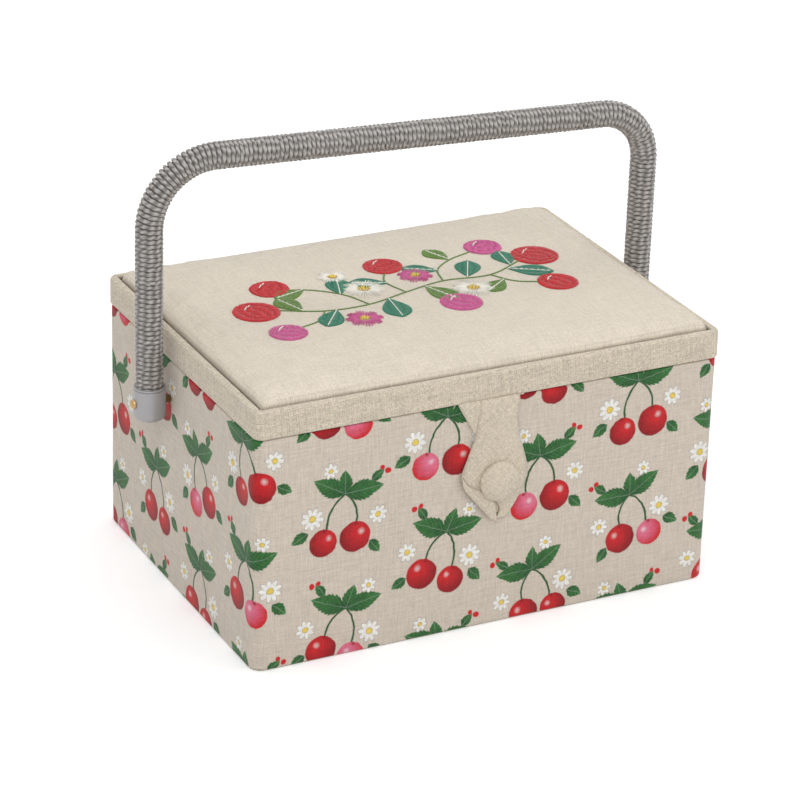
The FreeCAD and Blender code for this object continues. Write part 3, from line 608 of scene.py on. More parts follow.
def smooth_line(points, count):
    """A Catmull-Rom curve through the points, at evenly spaced parameters."""
    p = np.asarray(points, dtype=float)
    p = np.vstack([2 * p[0] - p[1], p, 2 * p[-1] - p[-2]])
    place = np.linspace(0, len(p) - 3 - 1e-9, count)
    first = place.astype(int)
    f = (place - first)[:, None]
    a, b, c, d = (p[first + shift] for shift in range(4))
    square, cube = 2 * a - 5 * b + 4 * c - d, 3 * b - a - 3 * c + d
    return 0.5 * (2 * b + (c - a) * f + square * f ** 2 + cube * f ** 3)


def run_length(points):
    """Distance along a row of points."""
    return np.concatenate([[0.0], np.cumsum(np.linalg.norm(np.diff(points, axis=0), axis=1))])


def outline(half_x, half_y, radius, step):
    """A rounded rectangle from the middle of the back, by way of the left, as points and outward normals."""
    runs, normals = [], []
    start = np.array([0.0, half_y])

    def straight(end, distance, facing):
        """Adds an even run of points from the last one to an end, with one normal."""
        count = max(2, round(distance / step))
        share = np.linspace(0, 1, count, endpoint=False)[:, None]
        runs.append(start + (end - start) * share)
        normals.append(np.tile([math.cos(facing), math.sin(facing)], (count, 1)))

    along_x, along_y = half_x - radius, 2 * (half_y - radius)
    distances = (along_x, along_y, 2 * along_x, along_y)
    for corner, (side_x, side_y) in enumerate(((-1, 1), (-1, -1), (1, -1), (1, 1))):
        angles = (90 + 90 * corner, 180 + 90 * corner, 9)
        bend = arc(side_x * (half_x - radius), side_y * (half_y - radius), radius, *angles)
        straight(bend[0], distances[corner], np.radians(90 + 90 * corner))
        runs.append(bend[:-1])
        normals.append(arc(0, 0, 1, *angles)[:-1])
        start = bend[-1]
    straight(np.array([0.0, half_y]), along_x, math.pi / 2)
    return np.concatenate(runs), np.concatenate(normals)


def wrapped_band(low, high, corner, profile, cloth, step, ripple):
    """A strip of cloth round the box: a profile of inset and height carried round a rounded rectangle.

    The outer face follows the profile, the inner face lies one cloth thickness deeper, and slow waves
    along and up the outer face leave it a little uneven. UVs are distances along and up the strip.
    """
    loop, normals = outline((high[0] - low[0]) / 2, (high[1] - low[1]) / 2, corner, step)
    tangent = np.gradient(profile, axis=0)
    tangent /= np.linalg.norm(tangent, axis=1)[:, None]
    deeper = profile + cloth * np.stack([tangent[:, 1], -tangent[:, 0]], axis=1)
    section = np.concatenate([profile, deeper[::-1]])
    along = run_length(np.vstack([loop, loop[:1]]))
    up = run_length(profile)
    up = np.concatenate([up, up[::-1]])
    around, tall = along[None, :-1], up[:, None]
    wave = ripple * (np.sin(around / 17.0 + tall / 29.0) + np.sin(around / 41.0 - tall / 13.0))
    fade = np.clip(1 - section[:, :1] / 0.3, 0, 1) * np.sin(np.pi * np.clip(tall / up.max(), 0, 1))
    inset = section[:, :1] - wave * fade
    flat = (low[:2] + high[:2]) / 2 + loop[None] - normals[None] * inset[..., None]
    faces, corner_rows, corner_columns = grid_faces(len(section), len(loop), True, True)
    uv = np.stack([along[corner_columns], up[corner_rows % len(section)]], axis=2)
    return placed(flat[..., 0], flat[..., 1], section[:, 1:]), faces, uv, along[-1], up.max()


def crowned_pad(low, high, base, way, edge, power, draw, columns, rows):
    """A closed pad: a shoulder, 1-exp(-e/SHOULDER) of the distance from each edge, under a broad crown.

    The crown is (1-|p|^n)(1-|q|^n) over the rectangle, and the sides are drawn in between the corners, where
    small folds run out. Way is 1 for a pad that rises and -1 for one that hangs. The first rows times
    columns points are the swelling face; the flat face has its own points inside the shared border.
    """
    p, q = np.meshgrid(np.linspace(-1, 1, columns), np.linspace(-1, 1, rows))
    half = (high[:2] - low[:2]) / 2
    middle = (high[:2] + low[:2]) / 2
    x = p * (half[0] - draw * (1 - q ** 2) * np.abs(p))
    y = q * (half[1] - draw * (1 - p ** 2) * np.abs(q))
    from_x, from_y = half[0] * (1 - np.abs(p)), half[1] * (1 - np.abs(q))
    inside = np.minimum(from_x, from_y)
    rounding = np.sqrt(1 - (1 - np.clip(inside / (1.2 * edge), 0, 1)) ** 2)
    shoulder = (1 - np.exp(-from_x / SHOULDER)) * (1 - np.exp(-from_y / SHOULDER))
    crown = (1 - np.abs(p) ** power) * (1 - np.abs(q) ** power)
    rise = (high[2] - low[2] - edge) * (0.87 * shoulder + 0.13 * crown)
    corner_x, corner_y = half[0] - np.abs(x), half[1] - np.abs(y)
    folds = np.exp(-np.hypot(corner_x, corner_y) / 14) * np.cos(9 * np.arctan2(corner_y, corner_x))
    pucker = 0.35 * folds * np.clip(inside / 4, 0, 1)
    swelling = placed(middle[0] + x, middle[1] + y, base + way * (rounding * edge + rise + pucker))
    inner = np.zeros((rows, columns), dtype=bool)
    inner[1:-1, 1:-1] = True
    flat = placed(middle[0] + x, middle[1] + y, base)[inner]
    number = np.arange(rows * columns).reshape(rows, columns)
    number[inner] = rows * columns + np.arange(inner.sum())
    faces = grid_faces(rows, columns)[0]
    both_faces = np.concatenate([faces, number.ravel()[faces[:, ::-1]]])
    return (np.concatenate([swelling.reshape(-1, 3), flat]), both_faces,
            np.concatenate([inside.ravel(), np.zeros(len(flat))]))


def swollen(points_mm, faces, held, pressure, cap_mm):
    """Blows the pad up as cloth under inner pressure for some frames, with its held points fixed.

    No point moves further than the cap.
    """
    scene = bpy.context.scene
    mesh = bpy.data.meshes.new("pad_in_work")
    mesh.from_pydata((points_mm * MM).tolist(), [], faces.tolist())
    pad = bpy.data.objects.new("pad_in_work", mesh)
    scene.collection.objects.link(pad)
    pad.vertex_groups.new(name="held").add(np.flatnonzero(held).tolist(), 1.0, "REPLACE")
    cloth = pad.modifiers.new("swell", "CLOTH")
    for setting, value in CLOTH_SETTINGS.items():
        setattr(cloth.settings, setting, value)
    cloth.settings.uniform_pressure_force = pressure
    cloth.settings.effector_weights.gravity = 0.0
    cloth.point_cache.frame_start = 1
    cloth.point_cache.frame_end = SWELL_FRAMES
    for number in range(1, SWELL_FRAMES + 1):
        scene.frame_set(number)
    ready = pad.evaluated_get(bpy.context.evaluated_depsgraph_get()).data
    moved = np.empty(len(points_mm) * 3, dtype=np.float32)
    ready.vertices.foreach_get("co", moved)
    scene.frame_set(1)
    bpy.data.objects.remove(pad)
    step = moved.reshape(-1, 3) / MM - points_mm
    far = np.linalg.norm(step, axis=1)[:, None]
    return points_mm + step * np.minimum(1.0, cap_mm / np.maximum(far, 1e-9))


def turned(profile, centre, axis, count, pleat=None):
    """A profile of radius and height turned about an axis; pleats move its points along the axis."""
    axis = np.asarray(axis, dtype=float)
    first = np.array([0.0, 0.0, 1.0]) if abs(axis[2]) < 0.5 else np.array([1.0, 0.0, 0.0])
    second = np.cross(axis, first)
    turn = np.linspace(0, TURN, count, endpoint=False)
    radius, height = np.asarray(profile, dtype=float).T
    lift = height[:, None] + (pleat(radius[:, None], turn[None]) if pleat else 0.0) * np.ones((1, count))
    round_way = np.cos(turn)[:, None] * first + np.sin(turn)[:, None] * second
    points = np.asarray(centre) + radius[:, None, None] * round_way[None] + lift[..., None] * axis
    return points.reshape(-1, 3), grid_faces(len(radius), count, False, True)[0]


def spokes(first, second, count):
    """Directions round each point of a line: cos(a) of one direction across it and sin(a) of another."""
    turn = np.linspace(0, TURN, count, endpoint=False)[None, :, None]
    return np.cos(turn) * first[:, None] + np.sin(turn) * second[:, None]


def capped(rings):
    """A tube of rings, closed by drawing a copy of its first and last ring in to the middle."""
    ends = [end.mean(axis=1, keepdims=True).repeat(rings.shape[1], axis=1) for end in (rings[:1], rings[-1:])]
    return np.concatenate([ends[0], rings, ends[1]])


def joined(parts):
    """Several sets of points and faces as one."""
    counts = np.cumsum([0] + [len(points) for points, _ in parts])
    return (np.concatenate([points for points, _ in parts]),
            np.concatenate([faces + start for (_, faces), start in zip(parts, counts)]))


class SEWINGBOX_OT_side_cloth(Operator):
    """Wraps the printed cloth round the body and over its upper edge"""

    bl_idname = "sewing_box.side_cloth"
    bl_label = "Side cloth"

    def execute(self, context):
        sizes, tints = context.scene.sewing_box_sizes, context.scene.sewing_box_colours
        top = BODY_HIGH[2]
        inner = BODY_HIGH[0] + node_box("left_board")[1][0] + 0.12
        profile = np.concatenate([
            arc(0.8, BODY_LOW[2] + 0.8, 0.8, 250, 180, 6),
            placed(0.0, np.linspace(2.0, top - 2.0, 46)),
            arc(1.4, top - 1.4, 1.4, 180, 90, 7),
            arc(inner - 0.7, top - 0.7, 0.7, 90, 0, 5),
            [[inner, top - 2.4]]])
        points, faces, uv, around, up = wrapped_band(BODY_LOW, BODY_HIGH, sizes.body_corner / MM, profile,
                                                     sizes.cloth / MM, step=2.6, ripple=0.07)
        made = piece("side_cloth", points, faces, "box", printed_cloth(sizes, tints, around),
                     ("side_cover",), uv)
        return {"FINISHED"}


class SEWINGBOX_OT_lid_band(Operator):
    """Wraps plain linen round the lid's band, over its rim and under its lower edge"""

    bl_idname = "sewing_box.lid_band"
    bl_label = "Lid band"

    def execute(self, context):
        sizes, tints = context.scene.sewing_box_sizes, context.scene.sewing_box_colours
        low, top, edge = BAND_LOW[2], BAND_HIGH[2], sizes.rim_round / MM
        inner = BAND_HIGH[0] - PAD_HIGH[0] - 0.55
        card = node_box("lid_lining")[0][2]
        board_top = node_box("lid_board")[1][2]
        profile = np.concatenate([
            placed(inner, np.linspace(card - 0.1, low + 1.2, 4)),
            arc(inner - 0.6, low + 0.62, 0.6, 0, -90, 5),
            arc(0.8, low + 0.82, 0.8, 270, 180, 6),
            placed(0.0, np.linspace(low + 1.8, top - edge - 0.6, 9)),
            arc(edge, top - edge, edge, 180, 90, 8),
            arc(inner - 0.8, top - 0.8, 0.8, 90, 0, 7),
            [[inner, board_top + 0.2]]])
        points, faces, uv, around, up = wrapped_band(BAND_LOW, BAND_HIGH, sizes.lid_corner / MM, profile,
                                                     sizes.cloth / MM, step=2.6, ripple=0.06)
        weave = linen("band_linen", tints.band_linen, sizes.band_thread / MM, 0.46, bias=math.radians(6),
                      speckle=0.30, grain=0.85)
        made = piece("lid_band_cloth", points, faces, "lid", weave, ("lid_band_cover",), uv)
        return {"FINISHED"}


class SEWINGBOX_OT_lid_cushion(Operator):
    """Makes the lid's padded cushion and swells it as cloth over its wadding"""

    bl_idname = "sewing_box.lid_cushion"
    bl_label = "Lid cushion"

    def execute(self, context):
        sizes, tints = context.scene.sewing_box_sizes, context.scene.sewing_box_colours
        points, faces, inside = crowned_pad(PAD_LOW, PAD_HIGH, PAD_LOW[2], way=1.0, edge=2.9,
                                            power=sizes.crown_power, draw=0.3, columns=LID_COLUMNS,
                                            rows=LID_ROWS)
        face = LID_COLUMNS * LID_ROWS
        points = swollen(points, faces, held=inside < 2.2, pressure=4.0, cap_mm=1.6)
        rise = points[:face, 2] - BAND_HIGH[2]
        fit = (PAD_HIGH[2] + CROWN_LIFT - BAND_HIGH[2]) / rise.max()
        points[:face, 2] = BAND_HIGH[2] + np.where(rise > 0, rise * fit, rise)
        weave = linen("lid_linen", tints.lid_linen, sizes.lid_thread / MM, 0.24, from_uv=False, speckle=0.06,
                      grain=0.40)
        made = piece("lid_cushion_cloth", points, faces, "lid", weave, ("lid_cushion",))
        return {"FINISHED"}


def cushion_height(x, y):
    """Height of the lid cushion under points, between the points of its grid."""
    mesh = bpy.data.objects["lid_cushion_cloth"].data
    points = np.empty(len(mesh.vertices) * 3, dtype=np.float32)
    mesh.vertices.foreach_get("co", points)
    z = points.reshape(-1, 3)[: LID_COLUMNS * LID_ROWS, 2].reshape(LID_ROWS, LID_COLUMNS) / MM
    span = PAD_HIGH - PAD_LOW
    column = np.clip((x - PAD_LOW[0]) / span[0] * (LID_COLUMNS - 1), 0, LID_COLUMNS - 1.001)
    row = np.clip((y - PAD_LOW[1]) / span[1] * (LID_ROWS - 1), 0, LID_ROWS - 1.001)
    c, r = column.astype(int), row.astype(int)
    a, b = column - c, row - r
    return (z[r, c] * (1 - a) + z[r, c + 1] * a) * (1 - b) + (z[r + 1, c] * (1 - a) + z[r + 1, c + 1] * a) * b


def filled(starts, ends, longest, chance):
    """Long and short stitches: each line is cut into pieces at breaks that vary by chance."""
    parts = np.maximum(1, np.ceil(np.linalg.norm(ends - starts, axis=1) / longest).astype(int))
    line = np.repeat(np.arange(len(parts)), parts)
    order = np.arange(len(line)) - np.repeat(np.cumsum(parts) - parts, parts)
    shift = chance.uniform(-0.28, 0.28, len(line))
    count = parts[line]
    begin = np.where(order == 0, 0.0, (order + shift) / count)
    finish = np.where(order == count - 1, 1.0, np.roll(begin, -1))
    way = (ends - starts)[line]
    return starts[line] + way * begin[:, None], starts[line] + way * finish[:, None]


def stitched_cherry(centre, radius, lean, chance, spacing):
    """Satin filling of a round: chords of a circle at even spacing, across a leaning direction."""
    offset = np.arange(-radius + spacing / 2, radius, spacing)
    half = np.sqrt(radius ** 2 - offset ** 2) + chance.uniform(-0.25, 0.25, len(offset))
    ahead, aside = bearing(math.degrees(lean))
    middle = np.asarray(centre) + offset[:, None] * aside
    return filled(middle - half[:, None] * ahead, middle + half[:, None] * ahead, 5.5, chance)


def stitched_leaf(root, degrees, reach, half_width, chance, spacing):
    """Fishbone filling of a leaf: slanted stitches from the midrib to both edges, width 4t(1-t)."""
    ahead, aside = bearing(degrees)
    share = np.arange(0.02, 0.98, spacing / reach)
    width = 4 * half_width * share * (1 - share) * (1.25 - 0.5 * share)
    on_rib = np.asarray(root) + (share * reach * 0.94)[:, None] * ahead
    slant = on_rib + (0.55 * width + 0.8)[:, None] * ahead * 0.9
    tips = [slant + side * width[:, None] * aside for side in (-1, 1)]
    return filled(np.vstack([on_rib, on_rib]), np.vstack(tips), 6.0, chance)


def stitched_daisy(centre, radius, petals, chance):
    """Petals of five straight stitches each, fanned out of a round heart."""
    turn = np.linspace(0, TURN, petals, endpoint=False) + chance.uniform(0, 1)
    fan = np.linspace(-0.42, 0.42, 5) * TURN / petals
    angle = (turn[:, None] + fan[None]).ravel()
    reach = np.tile(radius * np.array([0.82, 0.97, 1.0, 0.97, 0.82]), petals)
    way = np.stack([np.cos(angle), np.sin(angle)], axis=1)
    return np.asarray(centre) + way * 0.26 * radius, np.asarray(centre) + way * reach[:, None]


def stitched_knots(centre, radius, count):
    """Short slanting stitches for a daisy's heart, on a spiral of golden angles and root radii."""
    turn = np.arange(count) * GOLDEN_ANGLE
    reach = 0.24 * radius * np.sqrt(np.arange(count) / count)
    knots = np.asarray(centre) + reach[:, None] * np.stack([np.cos(turn), np.sin(turn)], axis=1)
    return knots - 0.55, knots + 0.55


def stitched_stem(points, step):
    """A stem of two rows of slanting stitches along a smooth line."""
    line = smooth_line(points, 400)
    far = run_length(line)
    place = np.arange(0, far[-1] - step, step * 0.5)
    at, to = (np.stack([np.interp(where, far, line[:, axis]) for axis in range(2)], axis=1)
              for where in (place, np.minimum(place + step, far[-1])))
    way = (to - at) / np.maximum(np.linalg.norm(to - at, axis=1), 1e-9)[:, None]
    aside = np.stack([-way[:, 1], way[:, 0]], axis=1) * 0.32
    return at - aside, to + aside


def thread_tubes(starts, ends, thickness, lift):
    """Stitches as five-sided tubes that arch over the cloth and taper to a point where they enter it."""
    share = np.array([0.0, 0.06, 0.35, 0.65, 0.94, 1.0])
    ring = np.linspace(0, TURN, STITCH_SIDES, endpoint=False)
    middle = starts[:, None] + (ends - starts)[:, None] * share[None, :, None]
    span = np.maximum(np.linalg.norm(ends - starts, axis=1), 1e-6)
    way = (ends - starts) / span[:, None]
    aside = np.stack([-way[:, 1], way[:, 0]], axis=1)
    arch = 1 - np.abs(2 * share - 1) ** 7
    radius = thickness / 2 * np.array([0.0, 0.95, 1.0, 1.0, 0.95, 0.0])
    flat = middle[:, :, None] + aside[:, None, None] * (radius[:, None] * np.cos(ring))[None, :, :, None]
    ground = cushion_height(middle[..., 0], middle[..., 1]) + lift[:, None] * arch - 0.05
    tall = ground[..., None] + (0.8 * radius[:, None] * np.sin(ring))[None]
    points = placed(flat[..., 0], flat[..., 1], tall)
    one, corner_rows, corner_columns = grid_faces(STITCH_ROWS, STITCH_SIDES, False, True)
    first = np.arange(len(starts))[:, None, None] * STITCH_ROWS * STITCH_SIDES
    along = share[corner_rows][None] * span[:, None, None]
    uv = placed(along, corner_columns / STITCH_SIDES * 2.0)
    return points.reshape(-1, 3), (one[None] + first).reshape(-1, 4), uv.reshape(-1, 2)


# The garland on the lid, in millimetres from its middle: stems as points, leaves by root, angle, reach and
# half width, cherries by radius, lean and share of pink, and daisies by radius and petals
GARLAND_STEMS = (
    ((-74, 2), (-52, -8), (-28, -9), (-4, -2), (20, 4), (46, 2), (70, 14)),
    ((-28, -9), (-34, 6), (-46, 18), (-60, 24)), ((20, 4), (24, 18), (36, 28), (52, 34)),
    ((-4, -2), (-8, 14), (-2, 26)), ((46, 2), (54, -10), (66, -16)), ((-52, -8), (-60, -18), (-72, -22)))
GARLAND_LEAVES = (
    (-62, -4, 108, 17, 5.0), (-46, -9, 232, 18, 5.0), (-36, 8, 70, 17, 5.0), (-50, 21, 196, 16, 4.6),
    (-16, -6, 262, 20, 5.6), (-7, 12, 158, 17, 4.8), (8, 1, 292, 19, 5.2), (24, 17, 150, 16, 4.6),
    (34, 4, 62, 18, 5.2), (36, 28, 112, 15, 4.4), (58, 6, 330, 20, 5.4), (62, 10, 82, 16, 4.6),
    (50, -6, 216, 16, 4.6))
GARLAND_CHERRIES = (
    (-84, 4, 10.0, 0.5, 0), (-66, 28, 8.6, 2.4, 0), (-80, -25, 8.0, 1.2, 1), (80, 17, 10.4, 0.9, 0),
    (60, 37, 8.4, 2.0, 1), (74, -19, 8.8, 0.4, 0), (0, 33, 8.6, 1.8, 0), (16, -24, 9.0, 0.7, 1))
GARLAND_DAISIES = ((-22, 10, 9.5, 9), (-38, -24, 8.0, 8), (30, -10, 9.5, 9), (10, 16, 7.6, 8),
                   (-30, 30, 6.8, 7))
LEAF_LONGER, LEAF_WIDER, CHERRY_LARGER, DAISY_LARGER = 1.25, 1.3, 1.2, 1.25
GLINT_PLACES = np.array([[-0.42, 0.30], [-0.30, 0.46], [-0.14, 0.56]])


class SEWINGBOX_OT_embroidery(Operator):
    """Works a garland of cherries, leaves and daisies on the lid in long and short stitches"""

    bl_idname = "sewing_box.embroidery"
    bl_label = "Embroidery"

    def execute(self, context):
        sizes, tints = context.scene.sewing_box_sizes, context.scene.sewing_box_colours
        chance = np.random.default_rng(11)
        gap = sizes.stitch / MM * 0.78
        starts, ends, dyes, lifts = [], [], [], []

        def work(pair, tint, lift, spread=0.10):
            """Adds stitches with their lift and their colour, which varies by chance."""
            starts.append(pair[0])
            ends.append(pair[1])
            dyes.append(np.asarray(tint)[None] * chance.uniform(1 - spread, 1 + spread, (len(pair[0]), 1)))
            lifts.append(np.full(len(pair[0]), lift))

        for line in GARLAND_STEMS:
            work(stitched_stem(line, 3.4), tints.thread_olive, 0.30)
        for number, (x, y, degrees, reach, half_width) in enumerate(GARLAND_LEAVES):
            reach, half_width = LEAF_LONGER * reach, LEAF_WIDER * half_width
            tint = tints.thread_teal if number % 3 else tints.thread_olive
            work(stitched_leaf((x, y), degrees, reach, half_width, chance, gap), tint, 0.40, 0.14)
            root = np.array([[x, y]], dtype=float)
            tip = root + 0.9 * reach * bearing(degrees)[0]
            work(filled(root, tip, 3.0, chance), tints.thread_cream, 0.62)
        for x, y, radius, lean, pink in GARLAND_CHERRIES:
            radius *= CHERRY_LARGER
            tint = tints.thread_pink if pink else tints.thread_red
            # painted shade: the cross-laid underlay is the cherry's thread at 0.7 of its colour, a darker
            # copy that shows as shade between the satin stitches
            under = stitched_cherry((x, y), 0.95 * radius, lean + 1.5, chance, 2 * gap)
            work(under, np.asarray(tint) * 0.7, 0.30)
            work(stitched_cherry((x, y), radius, lean, chance, gap), tint, 0.52, 0.13)
            glint = GLINT_PLACES * radius + (x, y)
            work((glint, glint + np.array([[1.9, 1.5]])), tints.thread_cream, 0.95)
        for number, (x, y, radius, petals) in enumerate(GARLAND_DAISIES):
            radius *= DAISY_LARGER
            tint = tints.thread_pink if number % 2 else tints.thread_cream
            work(stitched_daisy((x, y), radius, petals, chance), tint, 0.55)
            work(stitched_knots((x, y), radius, 14), tints.heart, 0.95)
        points, faces, uv = thread_tubes(np.concatenate(starts), np.concatenate(ends), sizes.stitch / MM,
                                         np.concatenate(lifts))
        dye = np.repeat(np.clip(np.concatenate(dyes), 0, 1), STITCH_ROWS * STITCH_SIDES, axis=0)
        piece("lid_embroidery", points, faces, "lid", thread_finish(), (), uv, dye)
        return {"FINISHED"}


def handle_line(count):
    """The handle's line: up the left leg, round the left bend, along the slanting bar and down on the right.

    Its heading is constant on the legs and the bar and changes evenly on the bends, and its points are the
    sum of the heading. The bends are the circles that touch a leg and the bar. Gives the distance along the
    line, its points, and at each point the directions ahead and, in the handle's plane, across.
    """
    low, high = node_box("handle_wrap")
    cap_low, cap_high = node_box("end_cap_left")
    half = -(cap_low[0] + cap_high[0]) / 2
    pivot = (cap_low[2] + cap_high[2]) / 2
    tilt, drop = 0.0, RIGHT_RISE - LEFT_RISE
    for _ in range(9):
        run = 2 * half - LEFT_BEND - RIGHT_BEND - (RIGHT_BEND - LEFT_BEND) * math.sin(tilt)
        tilt = math.atan2(drop, run)
    lengths = [0.0, LEFT_RISE - LEFT_BEND * math.cos(tilt) - HANDLE_FOOT, LEFT_BEND * (math.pi / 2 - tilt),
               math.hypot(run, drop), RIGHT_BEND * (math.pi / 2 + tilt),
               RIGHT_RISE - RIGHT_BEND * math.cos(tilt) - HANDLE_FOOT]
    marks = np.cumsum(lengths)
    far = np.linspace(0, marks[-1], count)
    heading = np.interp(far, marks, [math.pi / 2, math.pi / 2, tilt, tilt, -math.pi / 2, -math.pi / 2])
    step = np.diff(far)
    mid = (heading[1:] + heading[:-1]) / 2
    x = -half + np.concatenate([[0], np.cumsum(np.cos(mid) * step)])
    z = pivot + HANDLE_FOOT + np.concatenate([[0], np.cumsum(np.sin(mid) * step)])
    line = placed(x, (low[1] + high[1]) / 2, z)
    ahead = placed(np.cos(heading), 0.0, np.sin(heading))
    return far, line, ahead, placed(-np.sin(heading), 0.0, np.cos(heading))


class SEWINGBOX_OT_handle_winding(Operator):
    """Winds the twisted cord round the handle, turn beside turn, over a dark tube of painted shade that shows
    between the turns
    """

    bl_idname = "sewing_box.handle_winding"
    bl_label = "Handle winding"

    def execute(self, context):
        sizes, tints = context.scene.sewing_box_sizes, context.scene.sewing_box_colours
        pitch, cord = sizes.cord_pitch / MM, sizes.cord_radius / MM
        wrap_low, wrap_high = node_box("handle_wrap")
        outside = (wrap_high[1] - wrap_low[1]) / 2
        sideways = np.array([[0.0, 1.0, 0.0]])
        samples = int(handle_line(2)[0][-1] / pitch * TURN_SAMPLES)
        far, line, ahead, normal = handle_line(samples)
        turn = (TURN * far / pitch)[:, None]
        outward = np.cos(turn) * normal + np.sin(turn) * sideways
        wander = 0.10 * np.sin(far / 7.3) + 0.07 * np.sin(far / 2.9 + 1.0)
        middle = line + outward * (outside - cord + 0.05) + ahead * wander[:, None]
        around = np.linspace(0, TURN, CORD_SIDES, endpoint=False)
        cord_far = far * math.hypot(pitch, TURN * (outside - cord)) / pitch
        uneven = 2.2 * np.sin(cord_far / 23.7) + 1.6 * np.sin(cord_far / 9.1 + 2.0)
        uneven = uneven + 0.7 * np.sin(cord_far / 4.7)
        lobes = 1 + 0.11 * np.cos(2 * (around[None] - cord_far[:, None] * TURN / 7.3) + uneven[:, None])
        radius = (0.94 * cord * lobes)[..., None]
        points = capped(middle[:, None] + radius * spokes(outward, ahead, CORD_SIDES))
        faces, corner_rows, corner_columns = grid_faces(samples + 2, CORD_SIDES, False, True)
        ply_turn = corner_columns / CORD_SIDES * TURN / 2
        uv = np.stack([np.pad(cord_far, 1, "edge")[corner_rows], ply_turn], axis=2)
        piece("handle_cord", points, faces, "handle", cord_finish(tints), ("handle_wrap",), uv)
        # painted shade: a dark tube inside the cord, in the cord's shade colour, that shows as shade between
        # the turns
        far, line, _, normal = handle_line(SHADE_TUBE_ROWS)
        tube = capped(line[:, None] + spokes(normal, sideways, SHADE_TUBE_SIDES) * (outside - 1.15 * cord))
        faces, corner_rows, corner_columns = grid_faces(SHADE_TUBE_ROWS + 2, SHADE_TUBE_SIDES, False, True)
        uv = np.stack([np.pad(far, 1, "edge")[corner_rows] * 6, corner_columns * 1.8], axis=2)
        under = board_finish("cord_shade_tube_finish", tints.cord_painted_shade, 0.3)
        piece("handle_shade_tube", tube, faces, "handle", under, (), uv)
        return {"FINISHED"}


class SEWINGBOX_OT_handle_fittings(Operator):
    """Turns the end caps and the pivot rivets"""

    bl_idname = "sewing_box.handle_fittings"
    bl_label = "Handle fittings"

    def execute(self, context):
        tints = context.scene.sewing_box_colours
        satin = metal_finish("satin_grey", tints.cap, roughness=0.42, metallic=0.35)
        for side in ("left", "right"):
            low, high = node_box(f"end_cap_{side}")
            radius, tall = (high[0] - low[0]) / 2, high[2] - low[2]
            profile = np.concatenate([
                [[0.0, 0.0], [radius - 3.4, 0.0]],
                arc(radius - 3.2, 3.2, 3.2, -90, 0, 9),
                [[radius, tall * 0.5], [radius, tall - 2.6]],
                arc(radius - 0.5, tall - 1.9, 0.5, 0, 90, 4),
                [[radius - 0.7, tall - 1.2]],
                arc(radius - 0.5, tall - 0.6, 0.5, -60, 90, 6),
                [[radius - 1.6, tall - 0.3], [radius - 1.7, tall - 4.0], [0.0, tall - 4.0]]])
            foot = (*(low[:2] + high[:2]) / 2, low[2])
            points, faces = turned(profile, foot, (0, 0, 1), 48)
            piece(f"handle_ferrule_{side}", points, faces, "handle", satin, (f"end_cap_{side}",))
        low, high = node_box("pivot_rivets")
        face = node_box("end_cap_right")[1][0]
        grip = face - node_box("right_board")[0][0]
        head, shank = 0.66 * (high[2] - low[2]) / 2, 2.0
        profile = np.concatenate([
            [[0.0, -grip], [shank, -grip], [shank, -0.3], [head - 0.5, -0.3], [head, -0.05]],
            dome(head, high[0] - face, 0.0, 9)])
        points, faces = joined([turned(profile, (side * face, *(low[1:] + high[1:]) / 2), (side, 0, 0), 36)
                                for side in (-1, 1)])
        polished = metal_finish("rivet_brass", tints.brass, roughness=0.32, metallic=0.95)
        piece("handle_rivets", points, faces, "box", polished, ("pivot_rivets",))
        return {"FINISHED"}


def ribbon(left, right, base, puff, count, thickness, start_roll=False):
    """Folded cloth between two smooth edges: the middle stands proud of its edges by 1-(2a-1)^4 across.

    Points are across, depth below the seam and distance from the wall. The back face lies one thickness
    nearer the wall and meets the front face at the ends. The upper end rolls in under the lid.
    """
    across = np.linspace(0, 1, 11)
    a, b = smooth_line(left, count), smooth_line(right, count)
    flat = a[:, None] + (b - a)[:, None] * across[None, :, None]
    far = np.linspace(0, 1, count)[:, None]
    out = base + puff * (1 - (2 * across - 1) ** 4) * np.sin(np.pi * np.clip(far * 0.9 + 0.1, 0, 1))
    out = out + 0.16 * np.sin(across * 9 + far * 5) * np.sin(np.pi * far)
    if start_roll:
        out = out * np.clip((flat[..., 1] + 1.4) / 3.0, 0.1, 1) ** 0.5
    thin = thickness * np.clip(np.minimum(far, 1 - far) * count / 2.0, 0, 1)
    front = placed(flat[..., 0], WALL_FACE - out, SEAM - flat[..., 1])
    back = front + placed(0.0, thin, 0.0)
    points = np.concatenate([front, back[:, ::-1]], axis=1).reshape(-1, 3)
    faces = grid_faces(count, 2 * len(across), False, True)[0]
    return points, faces, points[:, [0, 2]][faces]


# The clasp's strips as left and right edges, in millimetres across and below the seam, with the distance of
# their edges from the wall, their puff, their rows, their thickness and whether they roll in under the lid
BACK_LEG = (((-20.2, -1.2), (-20.0, 1), (-15.5, 9), (-10.5, 18), (-5, 26)),
            ((-3, -1.2), (-3, 1), (0, 9), (3, 18), (6, 26)), 1.0, 0.4, 30, 0.7, True)
FRONT_LEG = (((-8.8, -1.2), (-8.9, 1), (-9.8, 10), (-11.2, 18), (-15, 29), (-17.8, 38), (-14.5, 44.5),
              (-6.5, 50), (1.2, 54.5), (3.6, 58), (3.8, 61), (2.2, 64.4)),
             ((12.9, -1.2), (12.8, 1), (12.2, 10), (13, 19), (16.4, 30), (18.4, 38), (18.2, 44.5),
              (15.8, 51), (13.4, 55.5), (11.2, 59), (9, 62), (6.4, 64.4)), 1.7, 1.0, 64, 0.8, True)
LOWER_FLAP = (((-18.0, 38.2), (-14.6, 43), (-9.6, 46), (-3.6, 49.4), (0.2, 53.6), (1.2, 58.4), (2.2, 64)),
              ((-17.8, 41.4), (-16.4, 45), (-11.6, 51.4), (-7, 57), (-3.4, 61), (-1.4, 63.4), (1.8, 65)),
              2.6, 0.9, 36, 0.9)
